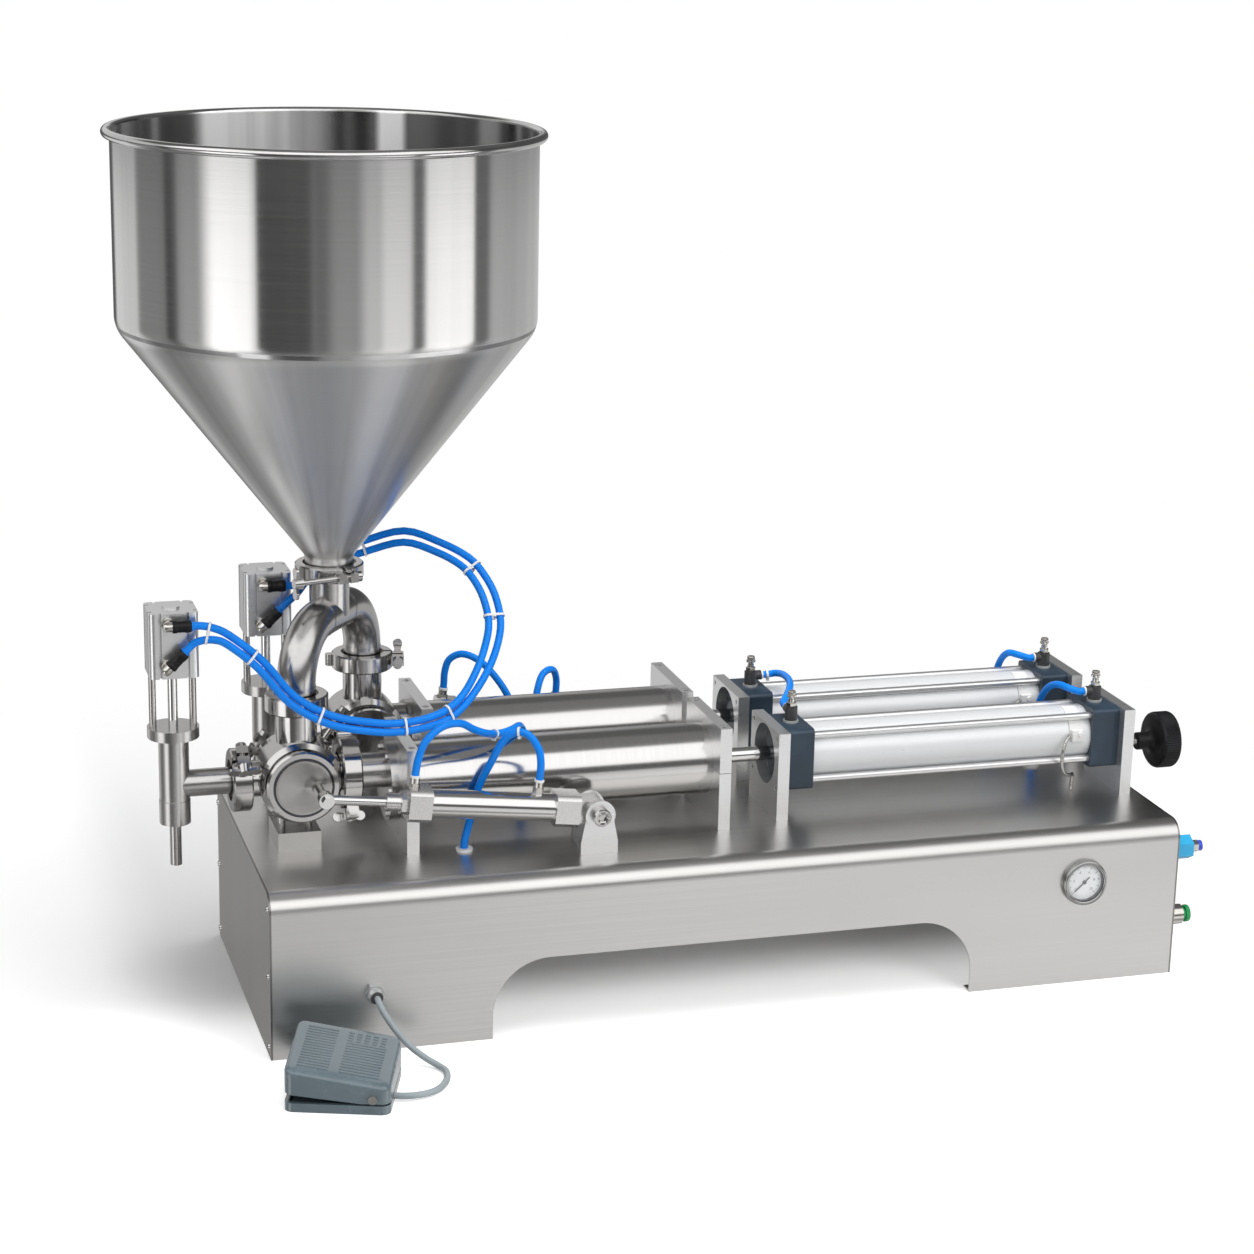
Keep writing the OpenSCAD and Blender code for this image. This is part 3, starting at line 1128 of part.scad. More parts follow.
base_cover();
end_panels();
panel_screws();
control_valves();
barrel_cradles();
barrel_caps();
air_plates();
product_barrels();
barrel_heads();
rod_bushes();
air_caps();
air_barrels();
tie_rods();
front_pistons();
front_piston_rod();
front_piston_seals();
rear_pistons();
rear_piston_rod();
rear_piston_seals();
flow_controllers();
front_left_knob();
front_right_knob();
rear_left_knob();
rear_right_knob();
position_sensors();
hopper();
hopper_clamp();
manifold();
valve_clamps();
front_valve_body();
rear_valve_body();
front_valve_core();
rear_valve_core();
valve_supports();
nozzle_bodies();
nozzle_cylinders();
front_nozzle_plunger();
rear_nozzle_plunger();
nozzle_fittings();
front_valve_actuator();
rear_valve_actuator();
front_actuator_rod();
rear_actuator_rod();
actuator_brackets();
stroke_stop();
stroke_handwheel();
gauge_case();
gauge_glass();
gauge_needle();
air_inlet();
button_collar();
start_button();
pedal_base();
pedal_cover();
pedal_pin();
cable_glands();
pedal_cord();
nozzle_hoses();
actuator_hoses();
cylinder_hoses();
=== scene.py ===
# %% [markdown]
# # A pneumatic paste filling machine, dressed for its picture
# The machine is a folded steel cabinet with two filling lines on it: hopper, rotary
# valves, product cylinders, air cylinders and two shut-off nozzles. Its sizes and joints
# come from a CAD model, which is loaded first and never changed. What this script adds is
# what CAD leaves plain: hoses, knurls, scales, screws, and the way each metal is finished.
# Everything is in metres: X along the machine to the right, Y to the back, Z up.

import math
import bpy
import numpy as np
from mathutils import Matrix, Vector


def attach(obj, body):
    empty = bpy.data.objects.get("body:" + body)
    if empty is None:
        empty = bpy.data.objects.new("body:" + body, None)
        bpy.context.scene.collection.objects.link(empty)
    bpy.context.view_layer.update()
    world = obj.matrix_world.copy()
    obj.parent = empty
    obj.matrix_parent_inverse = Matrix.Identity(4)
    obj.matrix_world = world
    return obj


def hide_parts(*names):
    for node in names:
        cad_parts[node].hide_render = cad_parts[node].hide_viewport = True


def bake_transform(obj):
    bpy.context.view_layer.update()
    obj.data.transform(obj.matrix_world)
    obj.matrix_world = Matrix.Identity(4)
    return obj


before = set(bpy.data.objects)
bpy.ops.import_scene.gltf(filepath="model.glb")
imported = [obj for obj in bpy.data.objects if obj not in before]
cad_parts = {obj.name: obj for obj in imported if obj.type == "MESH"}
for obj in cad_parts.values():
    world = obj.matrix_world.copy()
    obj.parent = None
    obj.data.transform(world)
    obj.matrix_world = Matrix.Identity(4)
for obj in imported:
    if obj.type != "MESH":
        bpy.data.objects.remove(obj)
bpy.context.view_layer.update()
mm = 0.001
# Places that several pieces share, in millimetres: the two filling lines, the axes of their
# valves, of their air cylinders and of the pins that the valve actuators swing on
front_y, rear_y = -25, 113
front_valve_x, rear_valve_x, valve_z = -445, -349, 250
air_z, stroke_z = 238, 220
front_pin, rear_pin = (-145, -104, 217), (-49, 192, 217)

# %% [markdown]
# ## Camera
# A product picture like this one is taken from a few metres away with a short telephoto
# lens, a little above the machine and left of its middle, so the long sides hardly
# converge. The three directions below are the camera's right, up and forward, and
# Blender's camera looks along its own minus Z, so forward goes in with its sign turned.

# %% Set the camera
camera = bpy.data.objects.new("camera", bpy.data.cameras.new("camera"))
bpy.context.scene.collection.objects.link(camera)
right, up = (0.959547, -0.280734, 0.021387), (0.055712, 0.263785, 0.962971)
forward, eye = (0.27598, 0.922825, -0.268754), (-0.917092, -2.788386, 1.19445)
rows = [[right[i], up[i], -forward[i], eye[i]] for i in range(3)]
camera.matrix_world = Matrix(rows + [[0, 0, 0, 1]])
camera.data.sensor_width, camera.data.lens = 36, 81.03
camera.data.clip_start, camera.data.clip_end = 0.05, 100
bpy.context.scene.camera = camera
print("camera at", [round(v, 2) for v in camera.location])

# %% [markdown]
# ## From grids of points to meshes
# Nearly every new piece is a grid of points: something carried along a path or turned
# round an axis. One function turns such a grid into faces, another keeps the finished
# piece: it makes the object, smooths it except at its sharp edges and ties it to the part
# of the machine that it moves with. Working on whole arrays is quick and short to write.

# %% Grids, lathes and tubes
def skin(grid, loop=False):
    """Faces over a grid P[i, j] that closes on itself along j: quad (i, j), (i, j+1), (i+1, j+1),
    (i+1, j). With loop, i closes on itself too, as on a ring; otherwise one flat face closes each
    end. The volume is the sum of a . (b x c) / 6 over all triangles; where it is negative the
    faces point inwards, and all are turned round."""
    n, m = grid.shape[:2]
    points = grid.reshape(-1, 3)
    i, j = np.meshgrid(np.arange(n if loop else n - 1), np.arange(m), indexing="ij")
    below, beside = (i + 1) % n, (j + 1) % m
    quads = np.stack([i * m + j, i * m + beside, below * m + beside, below * m + j], -1)
    quads = quads.reshape(-1, 4)
    caps = [] if loop else [np.arange(m)[::-1], np.arange((n - 1) * m, n * m)]
    a, b, c, d = (points[quads[:, k]] for k in range(4))
    volume = np.sum(a * (np.cross(b, c) + np.cross(c, d)))
    volume += sum(np.sum(points[e[0]] * np.cross(points[e[1:-1]], points[e[2:]])) for e in caps)
    faces = quads.tolist() + [e.tolist() for e in caps]
    return points, [f[::-1] for f in faces] if volume < 0 else faces


def frame_of(axis):
    """Three unit vectors: two square to the axis, then the axis itself."""
    w = np.array(axis, float) / np.linalg.norm(axis)
    u = np.cross([0, 1, 0] if abs(w[1]) < 0.9 else [0, 0, 1], w)
    u /= np.linalg.norm(u)
    return u, np.cross(w, u), w


def lathe(profile, at, axis, steps=48, loop=False, ripple=None):
    """Point (r, h) of the profile goes to at + h * axis + r * (cos a * u + sin a * v), for a full
    turn of a. ripple(r, h, a) may add to the radius. Profile and place are in millimetres."""
    u, v, w = frame_of(axis)
    r, h = np.array(profile, float).T[:, :, None]
    a = np.linspace(0, 2 * np.pi, steps, endpoint=False)[None, :]
    r = r + (0 if ripple is None else ripple(r, h, a)) + 0 * a
    h = h + 0 * a
    flat = (r * np.cos(a))[..., None] * u + (r * np.sin(a))[..., None] * v
    return skin(mm * (np.array(at) + h[..., None] * w + flat), loop)


def smooth_path(points, n=4):
    """A Catmull-Rom curve: each span is a cubic whose slope at a point is half the way between the
    point's neighbours."""
    p = np.array(points, float)
    a, b, c, d = np.concatenate([p[:1], p[:-2]]), p[:-1], p[1:], np.concatenate([p[2:], p[-1:]])
    t = (np.arange(n) / n)[None, :, None]
    a, b, c, d = (x[:, None, :] for x in (a, b, c, d))
    q = 0.5 * (2 * b + (c - a) * t + (2 * a - 5 * b + 4 * c - d) * t ** 2
        + (3 * b - a - 3 * c + d) * t ** 3)
    return np.concatenate([q.reshape(-1, 3), p[-1:]])


def directions(path):
    """Unit tangent of a path at each point, from its neighbours on both sides."""
    t = np.gradient(path, axis=0)
    return t / np.linalg.norm(t, axis=1)[:, None]


def tube(path, radius, sides=16):
    """A circle of that radius carried along the path, square to it. The circle's first
    direction is carried from ring to ring, so the tube doesn't twist. radius may be one
    number or one for each point."""
    t = directions(path)
    ups = [np.cross(t[0], [0.31, 0.95, 0.1])]
    for d in t:
        ups.append(ups[-1] - (ups[-1] @ d) * d)
        ups[-1] /= np.linalg.norm(ups[-1])
    over = np.array(ups[1:])
    side = np.cross(t, over)
    a = np.linspace(0, 2 * np.pi, sides, endpoint=False)[None, :, None]
    r = np.broadcast_to(radius, len(path))[:, None, None]
    return skin(path[:, None] + r * (np.cos(a) * over[:, None] + np.sin(a) * side[:, None]))


def joined(shapes):
    """Several (points, faces) pairs as one."""
    points, faces, start = [], [], 0
    for p, f in shapes:
        points.append(p)
        faces += [[k + start for k in g] for g in f]
        start += len(p)
    return np.concatenate(points), faces


# %% Keeping a piece
looks = {}


def keep(name, shape, body, slot, stands_for=(), sharp=32, look=None):
    """Makes the object from (points, faces), smooth but for edges sharper than that many
    degrees, and lets it ride on a body. Its finish comes later: the slot's, or the look's. It
    stands for the CAD nodes that are named."""
    mesh = bpy.data.meshes.new(name)
    mesh.from_pydata(shape[0].tolist(), [], shape[1])
    mesh.validate()
    mesh.polygons.foreach_set("use_smooth", np.ones(len(mesh.polygons), bool))
    mesh.set_sharp_from_angle(angle=math.radians(sharp))
    obj = bpy.data.objects.new(name, mesh)
    bpy.context.scene.collection.objects.link(obj)
    if body:
        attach(obj, body)
    if stands_for:
        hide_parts(*stands_for)
    looks[name] = look or slot
    return obj


# %% [markdown]
# ## Pedal cord and air hoses
# The cord of the foot pedal and the blue air hoses are fixed lengths of something that bends: the
# picture shows each of them from one end to the other, so the length is what the route measures.
# The routes repeat the CAD model's points, in millimetres. A curve object could draw them, but a
# mesh tube bakes the same way everywhere. The actuators' hoses are baked where they lie and ride on
# no body.

# %% Routes in millimetres
cord_route = [[-394, -182, 63], [-394, -191, 63], [-393, -198, 60], [-389, -205, 51],
    [-380, -212, 37], [-367, -217, 21], [-352, -224, 9], [-341, -234, 4], [-336, -248, 3.6],
    [-339, -266, 3.6], [-348, -282, 3.6], [-360, -293, 4], [-376, -299, 5],
    [-388.5, -298.1, 5], [-398.2, -294.86, 5]]
routes = {
    "front_nozzle_upper_hose": [[-555.9, -60, 427], [-548, -60, 427], [-536, -62, 425],
        [-519, -66, 417], [-486, -70, 389], [-455, -73, 351], [-418, -76, 329], [-378, -76, 319],
        [-349, -73, 315], [-318, -64, 315], [-292, -53, 320], [-272, -40, 331], [-254, -22, 350],
        [-241, -6, 371], [-233, 10, 393], [-235, 28, 416], [-243, 42, 434], [-254, 56, 446],
        [-276, 72, 457], [-308, 90, 465], [-348, 103, 453], [-388, 104, 441], [-410, 92, 430],
        [-425, 81, 417], [-438, 78, 407], [-444.9, 78, 400.1]],
    "front_nozzle_lower_hose": [[-562.9, -60, 400.1], [-555, -60, 408], [-546, -62, 412],
        [-534, -66, 413], [-521, -69, 408], [-492, -73.5, 383.5], [-460.5, -76.5, 345],
        [-421, -79, 321], [-379.5, -79, 310.5], [-349, -76, 306.5], [-316.5, -66.5, 306.5],
        [-288.5, -54.5, 311.5], [-265, -39, 325], [-243, -22, 347], [-228, -6, 370],
        [-220, 10, 393], [-222, 28, 418], [-231, 44, 438], [-244, 58, 453], [-270, 76, 466],
        [-306, 96, 476], [-348, 111, 463], [-388, 108, 451], [-408, 93, 441], [-420, 81, 431],
        [-429, 78, 427], [-437.9, 78, 427]],
    "front_rod_side_hose": [[-336.8, -104, 266.2], [-336, -104, 273.2], [-333, -103, 286],
        [-325, -101, 303], [-306, -94, 315], [-285, -84, 314], [-268, -74, 303], [-250, -60, 293],
        [-232, -43, 287], [-215, -24, 284], [-200, 2, 279], [-190, 24, 263], [-186, 40, 240],
        [-186, 44, 210], [-186, 44, 172]],
    "front_base_side_hose": [[-205.6, -104, 251.7], [-204.8, -104, 258.7], [-204, -104, 272],
        [-206, -102, 286], [-213, -98, 298], [-222, -93, 303], [-232, -88, 300], [-241, -83, 289],
        [-251, -78, 267], [-262, -74, 242], [-269, -74, 215], [-276, -79, 195], [-280, -83, 183],
        [-280, -83, 172]],
    "rear_rod_side_hose": [[-240.8, 192, 266.2], [-240, 192, 273.2], [-239, 192, 287],
        [-234, 191, 301], [-221, 186, 308], [-205, 178, 303], [-190, 170, 289], [-174, 164, 265],
        [-165, 161, 238], [-163, 161, 205], [-163, 161, 172]],
    "rear_base_side_hose": [[-109.6, 192, 251.7], [-108.8, 192, 258.7], [-109, 191, 270],
        [-113, 187, 281], [-121, 180, 285], [-131, 172, 281], [-138, 165, 266], [-142, 161, 243],
        [-143, 161, 210], [-143, 161, 172]],
    "link_hose": [[110.1, 113, 284], [118, 113, 284], [127, 109, 286], [131, 95, 288],
        [129, 70, 289], [120, 42, 290], [108, 18, 288], [99, 4, 285], [98, -5, 284],
        [98, -12.9, 284]],
    "front_right_hose": [[447.9, -25, 284], [440, -25, 284], [430, -20, 287], [424, -4, 287],
        [421, 14, 278], [420, 32, 257], [420, 43, 230], [420, 44, 200], [420, 44, 172]],
    "rear_right_hose": [[447.9, 113, 284], [440, 113, 284], [429, 118, 287], [423, 133, 285],
        [421, 149, 270], [420, 159, 245], [420, 161, 215], [420, 161, 172]],
}
hose_nodes = ["nozzle_hoses"] * 2 + ["actuator_hoses"] * 4 + ["cylinder_hoses"] * 3
paths = {name: smooth_path(np.array(r) * mm) for name, r in routes.items()}
cord_path = smooth_path(np.array(cord_route) * mm)


def steps_of(path):
    """Distances between neighbouring points."""
    return np.linalg.norm(np.diff(path, axis=0), axis=1)


def length_of(path):
    """Sum of the steps."""
    return float(steps_of(path).sum())


def walked_on(path):
    """How far each point is from the start, along the path."""
    return np.concatenate([[0], np.cumsum(steps_of(path))])


print("cord", round(length_of(cord_path), 3), {n: round(length_of(p), 3) for n, p in paths.items()})

# %% Tubes along the routes
swings = {"front_rod_side_hose": ("front_actuator", [-250, -60, 293], [-336, -104, 275]),
    "front_base_side_hose": ("front_actuator", [-241, -83, 289], [-205, -104, 262]),
    "rear_rod_side_hose": ("rear_actuator", [-190, 170, 289], [-240, 192, 275]),
    "rear_base_side_hose": ("rear_actuator", [-138, 165, 266], [-109, 192, 262])}
cord_r, hose_r = 3.3 * mm, 4 * mm
jacket = tube(cord_path, cord_r, 20)
cord = keep("pedal_cord_jacket", jacket, "machine", "cord_grey", ["pedal_cord"])
hoses = {}
for (name, path), node in zip(paths.items(), hose_nodes):
    body = None if name in swings else "machine"
    hoses[name] = keep(name, tube(path, hose_r, 20), body, "hose_blue", [node])
for name, (body, start, end) in swings.items():
    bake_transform(hoses[name])
print("tubes", len(hoses) + 1)

# %% [markdown]
# The two hoses of the front nozzle run side by side, and white ties hold them together.
# A tie is a flat band round both hoses with a small block at its lock. The band is a
# stadium, two half circles joined by straights, laid in the plane square to the hoses.

# %% White ties on the hoses
def tie(at, along, across, gap, width=2.4 * mm, thick=0.9 * mm, r=4.3 * mm):
    """A stadium of radius r and straight part gap in the plane square to along, as a band of that
    width, with its lock: a block on the straight part."""
    w = along / np.linalg.norm(along)
    u = across - (across @ w) * w
    u /= np.linalg.norm(u)
    v = np.cross(w, u)
    a = np.linspace(0, 2 * np.pi, 40, endpoint=False)
    shift = np.sign(np.cos(a)) * gap / 2
    ring = lambda rad: shift[:, None] * u + rad * (np.cos(a)[:, None] * u + np.sin(a)[:, None] * v)
    corners = ((0, -1), (1, -1), (1, 1), (0, 1))
    band = np.array([at + ring(r + thick * k) + width / 2 * e * w for k, e in corners])
    lock = np.array([[at + v * (r + thick * k) + u * e * 2 * mm + w * width * 0.7 * g
        for e, g in ((-1, -1), (1, -1), (1, 1), (-1, 1))] for k in (0, 3.2)])
    return joined([skin(band, loop=True), skin(lock)])


upper, lower = paths["front_nozzle_upper_hose"], paths["front_nozzle_lower_hose"]
bands = []
for share in (0.075, 0.15, 0.235, 0.33, 0.4, 0.58, 0.66, 0.8):
    i = int(share * (len(upper) - 1))
    j = int(np.argmin(np.linalg.norm(lower - upper[i], axis=1)))
    apart = lower[j] - upper[i]
    middle = (upper[i] + lower[j]) / 2
    bands.append(tie(middle, directions(upper)[i], apart, float(np.linalg.norm(apart))))
nozzle_ties = keep("nozzle_hose_ties", joined(bands), "machine", "light_plastic")
single = []
for name, share in (("front_base_side_hose", 0.42), ("front_rod_side_hose", 0.55),
        ("link_hose", 0.12)):
    i = int(share * (len(paths[name]) - 1))
    t = directions(paths[name])[i]
    single.append(tie(paths[name][i], t, np.cross(t, [0, 0, 1.0]), 0.0))
keep("actuator_hose_ties", joined(single), "machine", "light_plastic")
print("ties", len(bands) + len(single))

# %% Count the cords
print("cords declared", 1 + len(hoses))

# %% [markdown]
# ## Small machined parts
# Screws, nuts and knobs are turned shapes too, some with six flats or a knurl. In Blender
# they could be primitives cut with booleans, but a radius that depends on the angle gives
# flats and knurls from the same lathe, with clean faces. Blocks with soft edges are a
# rounded rectangle carried upwards that shrinks along a quarter circle at both ends.

# %% Flats, knurls and soft blocks
def six_flats(a, flat):
    """How far a hexagon's edge is from its centre at angle a, its flats being at that distance."""
    return flat / np.cos(a % (np.pi / 3) - np.pi / 6)


def hex_rows(*radii):
    """A ripple that turns the rows with these radii into hexagons with their corners there."""
    corner = math.cos(math.pi / 6)
    return lambda r, h, a: np.where(np.isin(r, radii), six_flats(a, r * corner) - r, 0 * a)


def socket_screw(at, axis, r, high, deep=0.5, key=0.5):
    """A cap screw: cylinder with a chamfer, then down into a hexagonal hole whose corners are at
    key * r and whose floor is at deep * high."""
    hole = key * r
    rows = [(r, 0), (r, high - 0.12 * r), (0.9 * r, high), (hole * 1.18, high),
        (hole, high - 0.08 * r), (hole, deep * high), (0.05 * r, deep * high - 0.1)]
    return lathe(rows, at, axis, 24, ripple=hex_rows(hole))


def rounded_outline(half_x, half_y, r, arc=5):
    """Quarter circles of radius r round the four corners of a rectangle, anticlockwise."""
    a = (np.arange(4)[:, None] * 90 + np.linspace(0, 90, arc)[None]) * math.pi / 180
    sx, sy = np.array([[1], [-1], [-1], [1]]), np.array([[1], [1], [-1], [-1]])
    x, y = sx * (half_x - r) + r * np.cos(a), sy * (half_y - r) + r * np.sin(a)
    return np.stack([x, y], -1).reshape(-1, 2)


def soft_block(low, high, r, soft, arc=5):
    """Rounded rectangle of corner radius r from low to high, its ends rounded by quarter circles of
    radius soft. Returns the rings, in metres."""
    low, high = np.array(low, float), np.array(high, float)
    middle, half = (low + high) / 2, (high - low) / 2
    t = np.linspace(0, math.pi / 2, 4)
    inset = np.concatenate([soft * (1 - np.sin(t)), soft * (1 - np.cos(t))])
    level = np.concatenate([-half[2] + soft * (1 - np.cos(t)), half[2] - soft + soft * np.sin(t)])
    rings = []
    for i, z in zip(inset, level):
        outline = rounded_outline(half[0] - i, half[1] - i, max(r - i, 0.05), arc)
        rings.append(np.column_stack([outline, np.full(4 * arc, z)]))
    return mm * (np.array(rings) + middle)


print("helpers for machined parts ready")

# %% [markdown]
# ## Hopper
# The hopper is bent and welded from sheet 1.5 mm thick, with a round bead at the rim and a
# ferrule at the neck. A polished wall shows every facet of its bend as a bright ring, so
# the section is turned again here with the bend as a true arc. The arcs of the outer and
# the inner skin share one centre, which keeps the sheet equally thick all round the bend.

# %% Section of the sheet, turned round the hopper's axis
hopper_at, wall_r, neck_r, sheet = (-397, 44, 0), 215, 25.5, 1.5
cone_top, cone_low, rim_height, joint = 711, 468, 905, 452
ferrule_r, ferrule_t, bead_r, run = 32, 3, 4.9, 4
cone_lean = math.atan((wall_r - neck_r) / (cone_top - cone_low))
bend_rise = 11
bend_at, bend_r = cone_top + bend_rise, bend_rise / math.tan(cone_lean / 2)


def bend(offset):
    """An arc round (wall radius - bend radius, bend_at), from the cone's slope up to the upright
    wall, with a short straight run at both ends that keeps the shading of the arc to itself."""
    a = np.linspace(-cone_lean, 0, 13)
    r = bend_r - offset
    down = run * np.array([math.sin(cone_lean), math.cos(cone_lean)])
    arc = np.column_stack([wall_r - bend_r + r * np.cos(a), bend_at + r * np.sin(a)])
    return [tuple(arc[0] - down), *map(tuple, arc), (wall_r - offset, bend_at + run)]


section = [(neck_r, joint), (ferrule_r, joint), (ferrule_r, joint + ferrule_t),
    (neck_r, joint + ferrule_t), (neck_r, cone_low - 3), (neck_r + 0.4, cone_low - 0.6),
    (neck_r + 1.6, cone_low + 1.8), *bend(0), (wall_r, rim_height), (wall_r - sheet, rim_height),
    *bend(sheet)[::-1], (neck_r - sheet, cone_low + 0.5), (neck_r - sheet, joint)]
a = np.linspace(0, 2 * np.pi, 24, endpoint=False)
bead = np.column_stack([wall_r + 5 - sheet + bead_r * np.cos(a), rim_height + bead_r * np.sin(a)])
shell = joined([lathe(part, hopper_at, (0, 0, 1), 160, True) for part in (section, bead)])
keep("hopper_shell", shell, "machine", "hopper_steel", ["hopper"])
print(f"hopper: bend radius {bend_r:.1f} mm, cone leans {math.degrees(cone_lean):.1f} degrees")

# %% [markdown]
# ## Turned faces of the valve cores
# The picture shows the fan of light that a facing cut throws: many fine grooves round one
# centre. A bump pattern that fine would flicker, so the grooves are real: every third of
# a millimetre the radius steps inwards and the height goes up or down. Each face turns
# with its core. Round it lies the snap ring that keeps the core in.

# %% Grooved discs and snap rings
def grooved_face(at, axis, r=28.5, pitch=0.6, deep=0.032):
    """The radius falls from rim to centre in half pitches while the height alternates by deep."""
    inward = np.arange(r - 0.8, 0.7, -pitch / 2)
    wave = 0.06 + deep * (np.arange(len(inward)) % 2)
    rows = [(r, -0.4), (r, 0.02)] + list(zip(inward, wave)) + [(0.4, 0.03), (0.05, -0.1)]
    return lathe(rows, at, axis, 96)


snap = [(29.4, 41.8), (31.6, 41.8), (31.7, 42.6), (31.2, 43.1), (29.9, 43.1), (29.4, 42.6)]
reach = 43
snap_rings = []
for side, x, y, out in (("front", front_valve_x, front_y, -1), ("rear", rear_valve_x, rear_y, 1)):
    face = grooved_face((x, y + out * reach, valve_z), (0, out, 0))
    keep(side + "_core_face", face, side + "_core", "polished_steel", sharp=6, look="turned_face")
    snap_rings.append(lathe(snap, (x, y, valve_z), (0, out, 0), 96, True))
keep("core_snap_rings", joined(snap_rings), "machine", "polished_steel", look="spring_steel")
print("core faces and snap rings", len(snap_rings))

# %% [markdown]
# ## Hose fittings
# Every hose ends in a push-in fitting: a nickel nut and neck, a black barrel with ridges
# for the fingers and a small collet that grips the hose. All three are lathe profiles, so
# one fitting is three short lists of radius and height.

# %% Push-in fittings of the nozzle cylinders
slanted = (math.sqrt(0.5), 0, math.sqrt(0.5))
necks, barrels, collets = [], [], []


def collet(at, axis, start=-0.8):
    """A ring that a hose goes through, at the mouth of its fitting."""
    top = start + 2.5
    ring = [(4.1, start), (5.3, start), (5.3, top - 0.5), (4.9, top), (4.1, top)]
    return lathe(ring, at, axis, 32, True)


nut = [(6.9, -0.5), (6.9, 3), (6.3, 3.6), (4.3, 3.6), (4.3, 8), (4.7, 9), (4.4, 11.5),
    (2.6, 13.6), (0.2, 14)]
knee = [(0.2, -4.6), (3.4, -3.8), (4.9, -1.6), (5, 1), (5, 5.4), (4, 5.5)]
nozzle_places = ((-572, front_y), (-454, rear_y))
# From the nozzle's axis to the nut, its height, from the axis to the elbow, the elbow's height,
# and the barrel's direction and length: first the upper fitting, then the lower one
fittings = ((-6, 427, -8, 427, (1, 0, 0), 24), (-8, 383, -9.4, 381.6, slanted, 26))
for x, y in nozzle_places:
    for dx, z, elbow_dx, elbow_z, axis, long in fittings:
        elbow = (x + elbow_dx, y - 35, elbow_z)
        grip = [(4.2, 4.8), (6, 5), (6.4, 5.8), (6.4, 9), (5.9, 9.8), (5.9, 12), (6.1, 12.6),
            (5.9, 13.2), (5.9, long - 7), (6.3, long - 6), (6.3, long - 1.2), (5.7, long),
            (4.15, long), (4.15, long - 1)]
        necks.append(lathe(nut, (x + dx, y - 25, z), (0, -1, 0), 36, ripple=hex_rows(nut[0][0])))
        necks.append(lathe(knee, elbow, axis, 36))
        barrels.append(lathe(grip, elbow, axis, 36))
        collets.append(collet(np.array(elbow) + long * np.array(axis), axis))
keep("nozzle_fitting_necks", joined(necks), "machine", "nickel", ["nozzle_fittings"])
keep("nozzle_fitting_barrels", joined(barrels), "machine", "black_plastic", ["nozzle_fittings"])
keep("nozzle_fitting_collets", joined(collets), "machine", "hose_blue", ["nozzle_fittings"])
print("nozzle fittings", len(barrels))

# %% [markdown]
# The collets of the actuators and of the flow controllers are pale, and sit where the
# hoses' routes begin or end, along the route's own direction there.

# %% Pale collets where the hoses go in
tips = {name: (path[0] / mm, path[2] - path[0]) for name, path in paths.items()}
link = paths["link_hose"]
tips["link_hose_end"] = (link[-1] / mm, link[-3] - link[-1])
ends = ("link_hose", "front_right_hose", "rear_right_hose", "link_hose_end")
keep("controller_collets", joined([collet(*tips[name]) for name in ends]), "machine",
    "light_plastic")
for side in ("front", "rear"):
    pair = [collet(*tips[side + end], -0.3) for end in ("_rod_side_hose", "_base_side_hose")]
    keep(side + "_actuator_collets", joined(pair), side + "_actuator", "light_plastic")
print("hose tips with their direction", len(tips))

# %% [markdown]
# ## Screws in the plates and on the pivots
# The clamped plates are held by cap screws in counterbores, the air cylinders' plates by
# small ones in their faces, and each actuator swings on a bolt with a large washer.

# %% Cap screws
both = (-1, 1)
clamp_plates = ((-341, front_y), (-2, front_y), (-296, rear_y), (-2, rear_y))
plates_top, air_from, air_to, foot_z = 282, 74, 483, 190
screws = [socket_screw((x + 6.5, y + e * 50, plates_top), (0, 0, 1), 3.7, 4.8)
    for x, y in clamp_plates for e in both]
for y in (front_y, rear_y):
    screws += [socket_screw((air_from, y + e * 38, air_z + g * 28), (-1, 0, 0), 2.35, 4.4)
        for e in both for g in both]
    screws += [socket_screw((air_to, y + e * 38, foot_z), (1, 0, 0), 2.35, 5.2) for e in both]
keep("plate_screws", joined(screws), "machine", "polished_steel")
bolts = [socket_screw((x, y + 23 * out, z), (0, out, 0), r=9.5, high=8.6, deep=0.62, key=0.46)
    for (x, y, z), out in ((front_pin, -1), (rear_pin, 1))]
keep("pivot_bolts", joined(bolts), "machine", "polished_steel")
print("screws", len(screws) + len(bolts))

# %% [markdown]
# ## Cylinder sensors
# Each air barrel carries a magnetic switch: a white strap over the barrel, a small
# housing and a steel-sheathed lead that hangs in a loop before it goes down. The sheath
# is wound strip, so its radius swells and shrinks along the route.

# %% Straps, housings and sheathed leads
def strap(x, y, z, low=-4, high=83, wide=8, inner=30.05, thick=1.3):
    """A section (x, r) with softened outer corners, carried round the barrel from low to high."""
    section = np.array([(-wide, inner), (-wide, inner + thick - 0.3), (0.3 - wide, inner + thick),
        (wide - 0.3, inner + thick), (wide, inner + thick - 0.3), (wide, inner)])
    a = np.radians(np.linspace(low, high, 30))[:, None]
    dx, r = section.T[:, None, :]
    return skin(mm * np.stack([x + dx + 0 * a, y - r * np.cos(a), z + r * np.sin(a)], -1))


